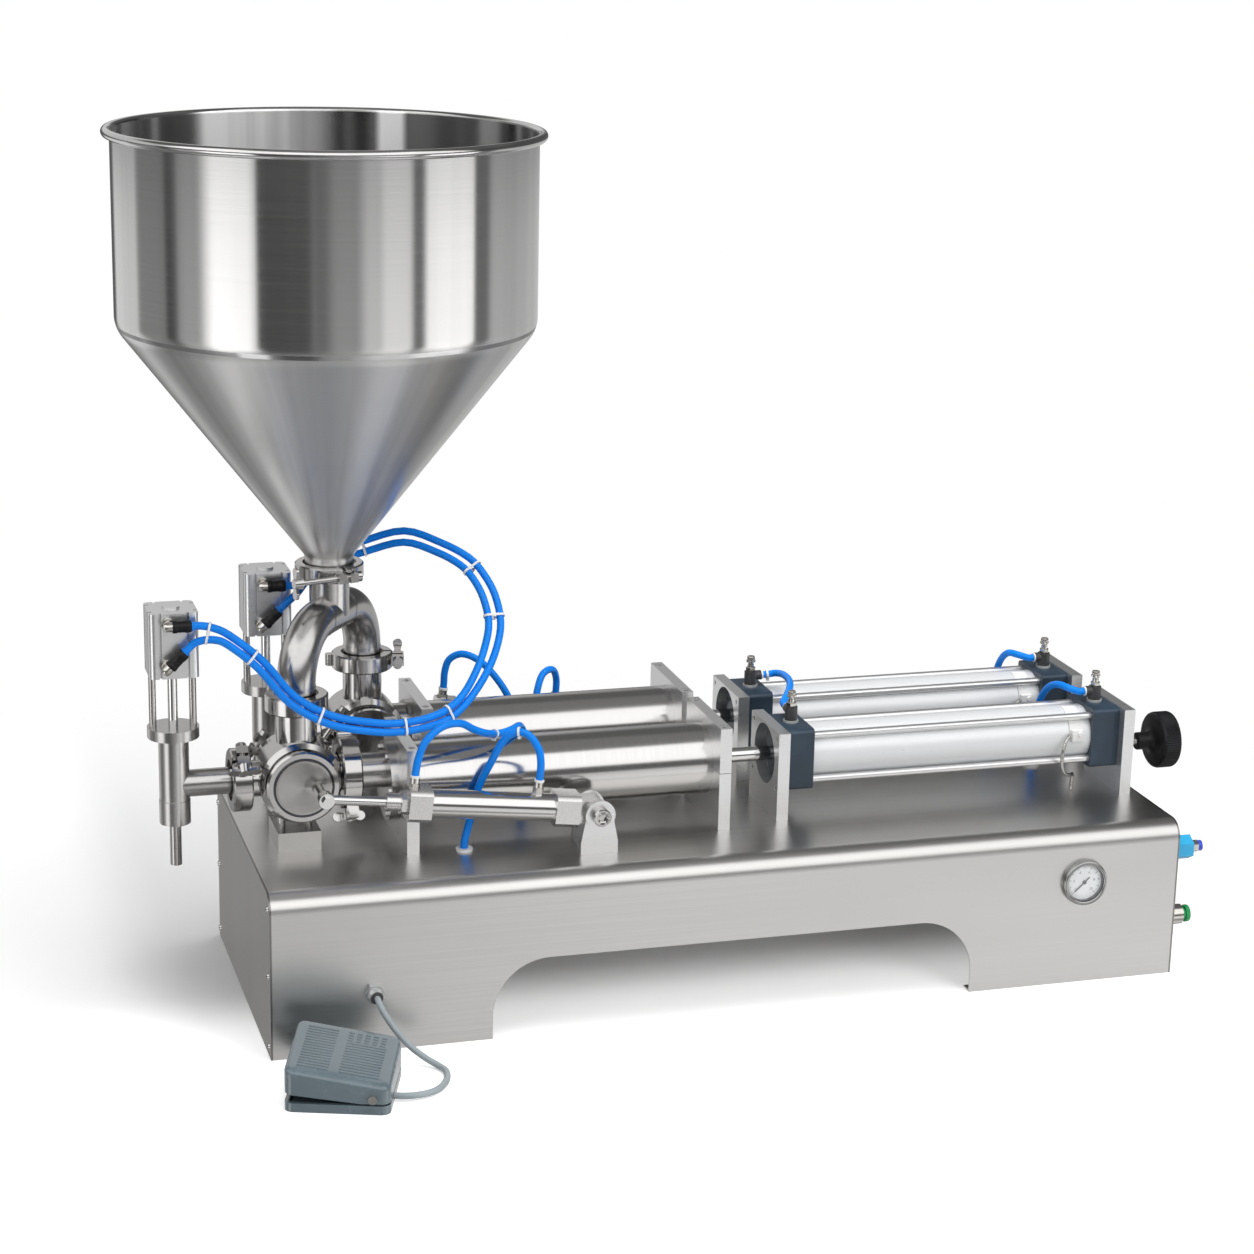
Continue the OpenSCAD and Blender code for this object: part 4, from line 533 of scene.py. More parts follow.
lead_route = np.array([[-6, -32, 5], [-12, -35, 4], [-18, -38, -8], [-19, -38, -24],
    [-14, -35, -37], [-4, -29, -42], [2, -22, -44], [4, -18, -52], [4, -17, -60],
    [4, -17, -62.8]])
straps, leads = [], []
sensor_x, lead_r, swell, winding = 426, 2.05, 0.12, 1.7
for y in (front_y, rear_y):
    housing = skin(soft_block((419, y - 35, 236), (433, y - 29, 250), 2, 1))
    dome = lathe([(3, -1), (3, 1.2), (2.4, 1.8), (0.3, 1.8)], (428.5, y - 35, 245), (0, -1, 0), 24)
    straps += [strap(sensor_x, y, air_z), housing, dome]
    line = smooth_path((lead_route + [sensor_x, y, air_z]) * mm, 24)
    sheath = lead_r * mm + swell * mm * np.sin(walked_on(line) * 2 * np.pi / (winding * mm))
    leads.append(tube(line, sheath, 14))
keep("sensor_straps", joined(straps), "machine", "light_plastic", ["position_sensors"])
keep("sensor_leads", joined(leads), "machine", "polished_steel", ["position_sensors"])
print("sensors", len(leads))

# %% [markdown]
# ## Stroke handwheel
# A black moulded wheel with a fine knurl for the fingers, on a threaded steel spindle.
# The knurl is a cosine of the angle on the rim's rows, the thread a sine of height minus
# angle, which climbs as it goes round.

# %% Wheel and threaded spindle
def knurl(count, depth, above, below=1e9):
    """A ripple on rows with a radius between two limits."""
    wave = lambda a: depth * (np.cos(count * a) - 1) / 2
    return lambda r, h, a: np.where((r > above) & (r < below), wave(a), 0 * a)


wheel = [(0.4, 0), (8.4, 0), (9.4, 0.6), (10, 1.8), (10, 12), (10.6, 14.5), (12.6, 17),
    (16, 18.8), (20, 19.8), (27, 20.6), (29.8, 21.4), (31.2, 22.8), (31.9, 24.6), (32, 25.2),
    (32, 39.6), (31.7, 41), (30.8, 42.4), (29.6, 43), (27.4, 43), (26, 42.2), (25, 41.2),
    (12, 40.4), (9.6, 40.6), (8.6, 41.6), (0.4, 41.6)]
wheel_shape = lathe(wheel, (515, front_y, stroke_z), (1, 0, 0), 300, ripple=knurl(75, 0.7, 31.5))
keep("stroke_wheel", wheel_shape, "handwheel", "black_plastic", ["stroke_handwheel"])
thread_r, thread_deep, lead = 3.72, 0.2, 1.25
spindle = [(0.3, 382.7), (3, 382.7), (3, 388.6), (3.9, 388.6), (3.9, 486.5),
    *((thread_r, h) for h in np.arange(487, 516, lead / 4)), (3.9, 516.5), (3.9, 534), (0.3, 534)]


def thread(r, h, a):
    """On the thread's rows the radius swells by the sine of turns up to there less the angle."""
    return np.where(r == thread_r, thread_deep * np.sin(2 * np.pi * h / lead - a), 0 * a)


spindle_shape = lathe(spindle, (0, front_y, stroke_z), (1, 0, 0), 32, ripple=thread)
keep("stroke_spindle", spindle_shape, "handwheel", "polished_steel", ["stroke_handwheel"])
print("handwheel", len(wheel), "rows")

# %% [markdown]
# ## Knurled needle screws and the start button
# The flow controllers' screws have a lock nut with six flats, a waist and a small knurled
# head. The start button is a green cap with ribs round its edge.

# %% Needle screws and button
needle_screw = [(0.2, 0), (3, 0), (3, 11.9), (5.5, 12), (5.6, 12.3), (5.6, 15.6), (5, 16),
    (3.6, 16.1), (3.6, 19.6), (3, 20), (3, 21.4), (4.9, 21.9), (5.2, 22.2), (5.2, 24.1),
    (4.9, 24.4), (3.7, 24.6), (4.2, 25), (4.4, 25.3), (4.4, 28), (3.8, 28.8), (2.2, 29),
    (1.6, 28.4), (0.2, 28.4)]
flats = hex_rows(5.5, 5.6)
ribs = knurl(24, 0.35, 4.3, 5.3)


def flats_and_ribs(r, h, a):
    """Six flats on the lock nut's rows, fine ribs on the head's."""
    return flats(r, h, a) + ribs(r, h, a)


screws_from = 278.05
for line, y in (("front", front_y), ("rear", rear_y)):
    for side, x in (("left", 98), ("right", 460)):
        name = line + "_" + side
        screw = lathe(needle_screw, (x, y, screws_from), (0, 0, 1), 48, ripple=flats_and_ribs)
        keep(name + "_needle_screw", screw, name + "_screw", "nickel", [name + "_knob"])
button_at = (500, -150, 58)
button = [(0.4, -10), (7.4, -10), (7.4, 24.5), (9.3, 24.5), (9.5, 24.9), (9.5, 28.4), (8.9, 29.3),
    (7.6, 29.5), (6.6, 29.2), (0.4, 28.9)]
cap = lathe(button, button_at, (1, 0, 0), 96, ripple=knurl(32, 0.5, 9.1))
keep("button_cap", cap, "button", "button_green", ["start_button"])
print("needle screws 4, button 1")

# %% [markdown]
# ## Pressure gauge
# The dial is a white plate with a printed scale. Print has next to no height, so each tick and
# digit is a sliver a twentieth of a millimetre thick, drawn from text and small prisms, and the
# polished bezel is a rolled ring that catches the room; its steel is darkened, a painted dark
# reflection. A black ring between the bezel and the glass is painted shade: it stands for the
# shadow inside the bezel.

# %% Dial, scale and bezel
gauge_at, facing = (388, -175, 116), (0, -1, 0)


def on_dial(x, y, h):
    """Dial coordinates in millimetres, height towards the reader, to places on the machine."""
    return mm * (np.array(gauge_at) + np.stack(np.broadcast_arrays(x, -np.asarray(h), y), -1))


def tick(deg, inner, outer, wide):
    """A radial bar between two radii: a prism of four corners."""
    a, s = math.radians(deg), wide / 2
    r, t = np.array([(inner, -s), (outer, -s), (outer, s), (inner, s)]).T
    x, y = r * math.cos(a) - t * math.sin(a), r * math.sin(a) + t * math.cos(a)
    return skin(np.array([on_dial(x, y, 0.45), on_dial(x, y, 0.56)]))


def digits(text, size, x, y):
    """A number as a thin mesh, centred on a place of the dial."""
    curve = bpy.data.curves.new("digits", "FONT")
    curve.body, curve.size, curve.align_x, curve.align_y = text, size, "CENTER", "CENTER"
    curve.extrude, curve.resolution_u = 0.05, 3
    holder = bpy.data.objects.new("digits", curve)
    mesh = bpy.data.meshes.new_from_object(holder)
    co = np.empty(len(mesh.vertices) * 3, np.float32)
    mesh.vertices.foreach_get("co", co)
    co = co.reshape(-1, 3)
    faces = [list(p.vertices) for p in mesh.polygons]
    bpy.data.objects.remove(holder)
    bpy.data.meshes.remove(mesh)
    return on_dial(co[:, 0] + x, co[:, 1] + y, co[:, 2] + 0.51), faces


# Zero is at 225 degrees and the full scale of ten is 270 degrees further, clockwise
zero_at, sweep, marks, digits_r = 225, 270, 50, 12
fine, bold = (17, 19, 0.28), (15.6, 19, 0.6)
scale = [tick(zero_at - sweep / marks * k, *(fine if k % 5 else bold)) for k in range(marks + 1)]
for k in range(6):
    a = math.radians(zero_at - sweep / 5 * k)
    scale.append(digits(str(2 * k), 4.3, digits_r * math.cos(a), digits_r * math.sin(a)))


def gauge_ring(name, profile, slot, look=None):
    """A ring turned about the gauge's axis."""
    keep(name, lathe(profile, gauge_at, facing, 96, True), "machine", slot, look=look)


gauge_ring("gauge_dial", [(1.5, 0.05), (20.8, 0.05), (20.8, 0.5), (1.5, 0.5)], "light_plastic")
keep("gauge_scale", joined(scale), "machine", "black_plastic")
# Painted reflection: the bezel's steel is darker than the other polished steel, for the dark room
# it mirrors
gauge_ring("gauge_bezel", [(20.97, 0.6), (20.97, 5.2), (21.5, 6.1), (22.4, 6.6), (23.6, 6.6),
    (24.6, 6.1), (25.3, 5), (25.6, 3.2), (25.5, 1.2), (25.1, 0.05), (22, 0.02)], "polished_steel",
    "bezel_steel")
# Painted shade: a black ring between bezel and glass, for the shadow inside the bezel
gauge_ring("gauge_painted_shadow_ring", [(20.0, 0.5), (20.97, 0.5), (20.97, 5.4), (20.5, 5.4), (20.0, 1.2)],
    "black_rubber")
print("gauge", len(scale), "marks")

# %% [markdown]
# ## Foot pedal cover
# A moulded cover over its tray: straight skirt, large soft edge, and a sloping top with
# two panels of ribs. It is one outline carried through a list of insets and heights: up
# inside the cover, round the lower edge, up outside, round the top edge and across.
# The top is a plane that falls to the right and to the front.

# %% Pedal cover with ribs
def turned_about(axis, degrees):
    """The matrix of a turn about one of the three axes."""
    return np.array(Matrix.Rotation(math.radians(degrees), 3, axis))


pedal_turn, pedal_at = turned_about("Z", -18.5), (-508, -295, 0)
pedal_wide, pedal_long, corner_r = 104, 100, 9
pedal_middle = [pedal_wide / 2, pedal_long / 2]


def on_floor(p):
    """Pedal coordinates in millimetres to places on the floor in metres."""
    return mm * (p @ pedal_turn.T + pedal_at)


def even_outline(inset, count=144):
    """The pedal's outline pulled in, with evenly spaced points."""
    half = [v - inset for v in pedal_middle]
    ring = rounded_outline(*half, max(corner_r - inset, 1), 9) + pedal_middle
    ring = np.concatenate([ring, ring[:1]])
    walked = walked_on(ring)
    want = np.linspace(0, walked[-1], count, endpoint=False)
    return np.stack([np.interp(want, walked, ring[:, k]) for k in range(2)], -1)


def row(inset, lift, shrink=1.0, low=False):
    """One ring: the outline at that inset, that far over the cover's top plane or its lower edge.
    The lower edge falls slowly to the right as far as x = 75 and is level from there."""
    x, y = (pedal_middle + shrink * (even_outline(inset) - pedal_middle)).T
    top_plane = 44.6 - 0.1539 * x + 0.1117 * y
    lower_edge = np.where(x < 75, 18.5 - 0.1 * (x + 5), 10.5)
    return np.column_stack([x, y, (lower_edge if low else top_plane) + lift])


soft = 5.5
t = np.radians(np.linspace(0, 90, 8))
rows = [row(3, -3, 0.03), row(3, -3), row(3, 0.4, low=True), row(2.4, 0, low=True),
    row(0.6, 0, low=True), row(0, 0.6, low=True), row(0, -soft)]
rows += [row(soft * (1 - math.cos(a)), -soft + soft * math.sin(a)) for a in t[1:]]
rows += [row(soft, 0.25, 0.8), row(soft, 0.4, 0.4), row(soft, 0.4, 0.03)]
tip = turned_about("Y", 8.75) @ turned_about("X", 6.3)
cover = [skin(on_floor(np.array(rows)))]
left_ribs, right_ribs = [(11, 42)], [(52, 92)]
short_ribs = [(x, x + 5.4) for x in np.arange(52, 92, 8.2)]
for k in range(16):
    for x0, x1 in left_ribs + (short_ribs if k > 11 else right_ribs):
        rib = soft_block((x0, 12 + 5 * k, -1), (x1, 14.4 + 5 * k, 0.85), 1.15, 0.6, 3) / mm
        cover.append(skin(on_floor(rib @ tip.T + [0, 0, 44.7])))
keep("pedal_cover_shell", joined(cover), "pedal", "pedal_grey", ["pedal_cover"])
print("pedal cover", len(cover) - 1, "ribs")

# %% [markdown]
# ## Shader maths as plain sums
# A procedural finish is arithmetic on positions: stretched noise for brushed grain, waves
# for turning marks. In the node editor each sum is a box with wires. Here a small class
# wraps an output socket and overloads the signs, so that `0.3 + 0.1 * grain` adds the
# Math nodes by itself. Every other node comes from one method of the finish.

# %% Wires and finishes
class Wire:
    """An output socket that can be used in sums."""

    def __init__(self, finish, socket):
        self.finish, self.socket = finish, socket

    def maths(self, operation, a, b=0.0):
        return self.finish.node("Math", {0: a, 1: b}, operation=operation)

    def __add__(self, other): return self.maths("ADD", self, other)
    def __radd__(self, other): return self.maths("ADD", other, self)
    def __sub__(self, other): return self.maths("SUBTRACT", self, other)
    def __rsub__(self, other): return self.maths("SUBTRACT", other, self)
    def __mul__(self, other): return self.maths("MULTIPLY", self, other)
    def __rmul__(self, other): return self.maths("MULTIPLY", other, self)
    def __mod__(self, other): return self.maths("MODULO", self, other)
    def __lt__(self, other): return self.maths("LESS_THAN", self, other)
    def __gt__(self, other): return self.maths("GREATER_THAN", self, other)
    def __abs__(self): return self.maths("ABSOLUTE", self)
    def sine(self): return self.maths("SINE", self)

    def far(self, other):
        """Distance from zero of the point with these two coordinates."""
        return self.maths("SQRT", self * self + other * other)

    def to(self, value, share):
        """Goes from here to the value by that share."""
        return self + share * (value - self)


class Finish:
    """A node tree with one method that makes nodes."""

    def __init__(self, name, world=False):
        self.data = bpy.data.worlds.new(name) if world else bpy.data.materials.new(name)
        self.data.use_nodes = True
        self.tree = self.data.node_tree
        self.tree.nodes.clear()
        self.output = "OutputWorld" if world else "OutputMaterial"
        self.object_place = None

    def node(self, kind, sockets, out=0, **settings):
        """Makes a node: its settings first, then the values or links of its sockets. Returns the
        wire from its output out, or from none."""
        n = self.tree.nodes.new("ShaderNode" + kind)
        for key, value in settings.items():
            setattr(n, key, value)
        for key, value in sockets.items():
            if isinstance(value, Wire):
                self.tree.links.new(n.inputs[key], value.socket)
            else:
                n.inputs[key].default_value = value
        return None if out is None else Wire(self, n.outputs[out])

    def end(self, shader):
        """Links the shader to the output, and gives the finished material or world."""
        self.node(self.output, {"Surface": shader}, out=None)
        return self.data

    def place(self, at=(0, 0, 0), turn=(0, 0, 0), scale=(1, 1, 1)):
        """Object coordinates as seen from a place, turned by those degrees, then scaled."""
        if self.object_place is None:
            self.object_place = self.node("TexCoord", {}, out="Object")
        where = self.object_place
        if any(at) or any(turn):
            angles = [math.radians(d) for d in turn]
            where = self.node("Mapping", {"Vector": where, "Location": at, "Rotation": angles},
                vector_type="TEXTURE")
        if tuple(scale) != (1, 1, 1):
            where = self.node("VectorMath", {0: where, 1: scale}, operation="MULTIPLY")
        return where

    def axes(self, **where):
        """The three coordinates of a place as wires."""
        x = self.node("SeparateXYZ", {0: self.place(**where)})
        return [Wire(self, output) for output in x.socket.node.outputs]

    def rays(self, *kinds):
        """For each kind of ray a wire that is 1 when the ray that arrives is of that kind."""
        path = self.tree.nodes.new("ShaderNodeLightPath")
        return [Wire(self, path.outputs["Is " + kind + " Ray"]) for kind in kinds]

    def noise(self, scale, detail=2.0, rough=0.5):
        """Soft noise from 0 to 1. The scale is one number, or one for each axis to stretch it."""
        at = self.place(scale=np.broadcast_to(scale, 3).tolist())
        return self.node("TexNoise", {"Vector": at, "Scale": 1.0, "Detail": detail,
            "Roughness": rough})

    def span(self, value, low, high, to=(0.0, 1.0)):
        """Value from low..high to the range to, clamped and eased."""
        return self.node("MapRange", {"Value": value, "From Min": low, "From Max": high,
            "To Min": to[0], "To Max": to[1]}, interpolation_type="SMOOTHSTEP")

    def bands(self, bearing, start, table):
        """A level that is start, and in each band (middle, half, value, soft) of the table goes to
        the value where the bearing is within half of the middle. All but the value in degrees."""
        level = start + 0 * bearing
        for middle, half, value, soft in table:
            away = abs(bearing - middle)
            level = level.to(value, self.span(away, half - soft / 2, half + soft / 2, (1.0, 0.0)))
        return level

    def mix(self, share, a, b):
        """Colour a at share 0, b at 1."""
        rgba = lambda c: c if isinstance(c, Wire) else (*c, 1)
        return self.node("Mix", {0: share, 6: rgba(a), 7: rgba(b)}, out=2, data_type="RGBA")

    def bump(self, height, depth):
        """Normals for a relief of that depth in metres."""
        return self.node("Bump", {"Height": height, "Distance": depth, "Strength": 1.0})

    def surface(self, colour, roughness, metallic, **more):
        """The principled shader, with whole-surface numbers set on its own sockets."""
        colour = colour if isinstance(colour, Wire) else (*colour, 1)
        names = {"normal": "Normal", "coat": "Coat Weight", "coat_rough": "Coat Roughness",
            "alpha": "Alpha", "gloss": "Specular IOR Level", "stretch": "Anisotropic",
            "stretch_turn": "Anisotropic Rotation"}
        sockets = {"Base Color": colour, "Roughness": roughness, "Metallic": metallic}
        sockets.update({names[k]: v for k, v in more.items()})
        return self.end(self.node("BsdfPrincipled", sockets))


def shade(colour, factor):
    """A colour made lighter or darker by a factor."""
    return tuple(min(1.0, c * factor) for c in colour)


print("shader helpers ready")

# %% [markdown]
# ## Steel
# Most of the metal here is stainless steel, and what tells one piece from the next is how it was
# finished. The cabinet is cut from sheet that was brushed lengthwise at the mill: noise stretched
# 175 times along X gives the lines, a second, slow noise the faint clouds of handling. The end
# panels are brushed upright, and their steel is given a far darker colour than the cabinet's:
# painted shade for the sides turned from the light. Fittings are polished or satin, and on the
# barrels and rods the lines run round them. The relief is a few micrometres deep, enough to smear a
# reflection across the lines as real brushing does. Nickel plating is the same finish with a warmer
# colour.

# %% Brushed sheet, polished tube and nickel
def brushed(name, colour, roughness, grain, depth, contrast, clouds):
    """Steel whose lines follow the axis with the smallest grain number: noise of that scale along
    each axis in relief and tone, a broader noise of the same stretch in tone, and slow clouds."""
    f = Finish(name)
    lines = f.noise(grain, 3.0, 0.65)
    broad = f.noise(0.18 * np.array(grain), 3.0, 0.6)
    cloud = f.noise(clouds)
    streaks = f.span(0.7 * lines + 0.3 * broad, 0.3, 0.7)
    tone = f.mix(streaks, shade(colour, 1 - contrast), shade(colour, 1 + contrast))
    tone = f.mix(f.span(cloud, 0.35, 0.7), tone, shade(colour, 1 - contrast / 2))
    return f.surface(tone, roughness + 0.1 * (lines - 0.5) + 0.08 * (cloud - 0.5), 1.0,
        normal=f.bump(lines, depth))


finishes = {}
for name, *look in (
        ("cabinet_steel", (0.68, 0.67, 0.655), 0.32, (4, 700, 700), 1.5e-6, 0.06, (1.5, 7, 7)),
        # Painted shade: the end panels' colour is far darker than the cabinet's, for the sides
        # turned from the light
        ("end_steel", (0.28, 0.272, 0.265), 0.34, (400, 400, 5), 3e-6, 0.12, (7, 7, 1.5)),
        ("polished_steel", (0.51, 0.5, 0.49), 0.14, 220, 1e-6, 0.05, 9.0),
        ("barrel_steel", (0.64, 0.63, 0.62), 0.17, (700, 12, 12), 9e-6, 0.03, (2, 40, 40)),
        ("spring_steel", (0.09, 0.09, 0.1), 0.26, 300, 2e-6, 0.1, 9.0),
        ("satin_steel", (0.5, 0.49, 0.48), 0.24, 180, 1e-6, 0.06, 9.0),
        # Painted reflection: darker than polished steel, for the dark room that the gauge's bezel
        # mirrors
        ("bezel_steel", (0.36, 0.36, 0.355), 0.08, 300, 5e-7, 0.04, 12.0),
        ("rod_steel", (0.7, 0.7, 0.69), 0.1, (700, 30, 30), 5e-7, 0.03, 12.0),
        ("nickel", (0.62, 0.6, 0.56), 0.2, 300, 2e-6, 0.1, 40.0)):
    finishes[name] = brushed(name, *look)
print("steels", list(finishes))

# %% [markdown]
# The hopper is rolled from brushed sheet, so its lines run round it, and so do the streaks of its
# polishing. A plain colour would do for a picture from one side. Here the bearing round the
# hopper's own axis is worked out from the position instead, so that the streaks stay where they are
# on the steel. The inside has reflections painted on it: sectors by bearing are made whiter and
# less metallic as painted bright reflections, and dark between them as painted dark ones.

# %% Rolled sheet
def rolled(name, colour, axis_at, inner, cone_from, sectors):
    """Sheet brushed round an axis. The streaks are noise on a circle: the direction from the axis.
    The cone is duller than the wall. Inside, the sectors paint reflections: bands by bearing that
    repeat after half a turn, where the larger a sector's value, the whiter and less metallic the
    steel, a painted bright reflection, and the smaller, the darker, a painted dark one."""
    f = Finish(name)
    x, y, z = f.axes(at=axis_at)
    circle = f.node("VectorMath", {0: f.node("CombineXYZ", {0: x, 1: y})}, operation="NORMALIZE")
    streak = f.span(f.node("TexNoise", {"Vector": circle, "Scale": 2.6, "Detail": 4.0,
        "Roughness": 0.55}), 0.4, 0.6)
    lines, cloud = f.noise((5, 5, 400), 3.0, 0.7), f.noise(4)
    cone = f.span(z, cone_from + 0.014, cone_from + 0.002)
    inside = (x.far(y) < inner) * (z > cone_from)
    tone = f.mix(0.5 + (lines - 0.5) * (1 - 0.5 * cone), shade(colour, 0.9), shade(colour, 1.1))
    outside = f.mix(0.5 * cone, tone, shade(colour, 1.3))
    tone = f.mix((0.3 + 0.2 * cone) * streak, outside, shade(colour, 0.62))
    bearing = (y.maths("ARCTAN2", y, x) * (180 / math.pi) + 360) % 180.0
    # Painted reflection: bright and dark bands by bearing inside the hopper, in its colour and
    # metalness
    painted_reflection = f.bands(bearing, 0.3, sectors) * (0.8 + 0.3 * streak)
    tone = f.mix(inside, tone, f.mix(painted_reflection, shade(colour, 0.3), (1, 1, 1)))
    rough = 0.13 + 0.17 * cone + 0.04 * inside + 0.1 * (lines - 0.5) + 0.06 * (cloud - 0.5)
    relief = f.bump(lines * (1 - 0.7 * cone), 1.2e-5)
    return f.surface(tone, rough, 1 - inside * 0.75 * painted_reflection, normal=relief, stretch=0.75,
        stretch_turn=0.25)


# Painted reflections inside the hopper, one per sector: middle, half width, value and softness
sectors = ((13, 9, 0.05, 6), (38, 13, 0.2, 8), (60.5, 4, 1.0, 3), (72, 5, 0.05, 5),
    (84, 5, 0.45, 6), (104, 15, 0.8, 8), (131, 11, 0.15, 8), (152, 10, 0.02, 8))
finishes["hopper_steel"] = rolled("hopper_steel", (0.64, 0.635, 0.63), [v * mm for v in hopper_at],
    (wall_r - 0.8) * mm, (cone_top - 0.5) * mm, sectors)
print("hopper's inside", len(sectors), "sectors")

# %% [markdown]
# The valve cores were faced on a lathe. Their grooves are in the mesh, so the finish only
# adds what a tool leaves between them: a slightly rougher surface with faint rings in its
# tone, centred on each core.

# %% Faced on the lathe
def turned(name, places, colour):
    """Rings about axes along Y, in relief and faintly in tone: a sine of the distance from the
    nearer axis."""
    f = Finish(name)
    away = []
    for at in places:
        x, y, z = f.axes(at=at)
        away.append(x.far(z))
    near = away[0].maths("MINIMUM", *away)
    fine = f.noise(60)
    rings = (near * 5200 + fine * 3).sine() * 0.5 + 0.5
    tone = f.mix(rings, shade(colour, 0.92), shade(colour, 1.04))
    return f.surface(tone, 0.15 + 0.08 * fine, 1.0, normal=f.bump(rings, 4e-6))


core_axes = [(x * mm, 0, valve_z * mm) for x in (front_valve_x, rear_valve_x)]
finishes["turned_face"] = turned("turned_face", core_axes, (0.43, 0.42, 0.41))
print("turned faces")

# %% [markdown]
# ## Aluminium
# Plates and blocks are sawn and anodised: a fine even frost with the odd speck. The air
# barrels are drawn tube with a white satin anodising that scatters so much light that
# they look nearly white, so they are only partly metallic.

# %% Anodised plates and barrels
def anodised(name, colour, roughness, metallic, grain):
    """A frosted metal with sawing marks along X and small specks."""
    f = Finish(name)
    frost = f.noise(1500)
    saw = f.noise(grain, 3.0)
    speck = f.span(f.noise(260, 1.0), 0.7, 0.78)
    tone = f.mix(saw, shade(colour, 0.95), shade(colour, 1.04))
    tone = f.mix(speck * 0.35, tone, shade(colour, 0.7))
    return f.surface(tone, roughness + 0.12 * (saw - 0.5), metallic, normal=f.bump(frost, 4e-6))


finishes["aluminium"] = anodised("aluminium", (0.8, 0.8, 0.8), 0.3, 0.9, (90, 500, 500))
finishes["air_barrel"] = anodised("air_barrel", (0.78, 0.79, 0.8), 0.42, 0.3, (3, 260, 260))
print("finishes so far", len(finishes))

# %% [markdown]
# ## Paint, plastic and rubber
# These differ in gloss and in the relief of their surface: orange peel on paint, a fine moulding
# grain on plastic. Wear and dust come in broad soft patches, a little lighter in some and darker in
# others, so each gets a slow second noise in its colour.

# %% Paints and plastics
def moulded(name, colour, roughness, peel, depth, wear, **more):
    """A coloured surface with relief of that scale and soft patches of wear."""
    f = Finish(name)
    grain = f.noise(peel)
    patch = f.span(f.noise(30, 3.0), 0.4, 0.75)
    tone = f.mix(patch, shade(colour, 1 - wear / 2), shade(colour, 1 + wear))
    rough = roughness + 0.1 * (patch - 0.5)
    return f.surface(tone, rough, 0.0, normal=f.bump(grain, depth), **more)


shine = {"navy_paint": {"coat": 0.08}, "pedal_grey": {"coat": 0.75, "coat_rough": 0.08},
    "button_green": {"coat": 0.5}, "black_plastic": {"gloss": 0.3}, "hose_blue": {"gloss": 0.35}}
for name, *look in (
        ("navy_paint", (0.022, 0.04, 0.062), 0.42, 500, 1.5e-5, 0.3),
        ("black_plastic", (0.006, 0.006, 0.007), 0.46, 1800, 1e-5, 0.3),
        ("black_rubber", (0.018, 0.018, 0.018), 0.6, 1200, 1e-5, 0.3),
        ("hose_blue", (0.0, 0.215, 0.8), 0.38, 60, 1e-5, 0.08),
        ("cord_grey", (0.3, 0.34, 0.36), 0.4, 700, 8e-6, 0.1),
        ("pedal_grey", (0.108, 0.146, 0.167), 0.26, 900, 1e-5, 0.08),
        ("light_plastic", (0.78, 0.78, 0.77), 0.4, 900, 6e-6, 0.06),
        ("piston_plastic", (0.82, 0.82, 0.79), 0.45, 900, 6e-6, 0.05),
        ("button_green", (0.0, 0.27, 0.07), 0.25, 300, 1e-5, 0.1)):
    finishes[name] = moulded(name, *look, **shine.get(name, {}))
print("coloured", len(shine), "of them shinier or duller than plain plastic")

# %% [markdown]
# Some CAD nodes hold several materials in one solid, such as a white grommet and a grey
# gland, or an actuator's blocks, steel tube and nickel unions. A finish can switch by
# position: a comparison gives 0 or 1, and each mix takes one look or the next. For the
# actuators the position is read in their own tilted frame, whose X runs along the tube.

# %% Finishes that switch by position
def switched(name, first, *changes, at=(0, 0, 0), turn=(0, 0, 0)):
    """A look is (colour, roughness, metallic). Each change is (test, look): where test(x, y, z)
    is 1, its look holds."""
    f = Finish(name)
    xyz = f.axes(at=at, turn=turn)
    grain = f.noise(900)
    tone, rough, metal = first[0], first[1] + 0 * grain, first[2] + 0 * grain
    for test, look in changes:
        here = test(*xyz)
        tone = f.mix(here, tone, look[0])
        rough, metal = rough.to(look[1], here), metal.to(look[2], here)
    tone = f.mix(grain * 0.12, tone, (0.45, 0.45, 0.45))
    return f.surface(tone, rough + 0.06 * grain, metal, normal=f.bump(grain, 5e-6))


nickel_look, black_look = ((0.62, 0.6, 0.56), 0.2, 1.0), ((0.02, 0.02, 0.022), 0.36, 0.0)
steel_look, plate_look = ((0.68, 0.67, 0.66), 0.12, 1.0), ((0.72, 0.71, 0.7), 0.24, 1.0)
gland_x, gland_z, seal_r, grommets_from = -0.394, 0.063, 0.0066, 0.15
finishes["glands"] = switched("glands", ((0.5, 0.52, 0.52), 0.3, 0.7),
    (lambda x, y, z: (x - gland_x).far(z - gland_z) < seal_r, black_look),
    (lambda x, y, z: z > grommets_from, ((0.8, 0.8, 0.79), 0.4, 0.0)))
fitting_from, inlet_ring_from, inlet_collet_from = 0.2741, 0.5252, 0.5342
finishes["controllers"] = switched("controllers", ((0.7, 0.7, 0.68), 0.35, 0.6),
    (lambda x, y, z: z > fitting_from, black_look))
finishes["inlet_fitting"] = switched("inlet_fitting", ((0.005, 0.36, 0.66), 0.22, 0.0),
    (lambda x, y, z: x > inlet_ring_from, nickel_look),
    (lambda x, y, z: x > inlet_collet_from, ((0.005, 0.05, 0.5), 0.25, 0.0)))
tube_from, tube_to, block_half, tilt = -0.1779, -0.0461, 0.0172, 6.35


def on_tube(x, y, z):
    """1 on the steel tube between the actuator's end blocks."""
    return (x > tube_from) * (x < tube_to)


def on_unions(x, y, z):
    """1 on what stands up from the blocks, or a little lower, from the tube."""
    return z > block_half - 0.002 * on_tube(x, y, z)


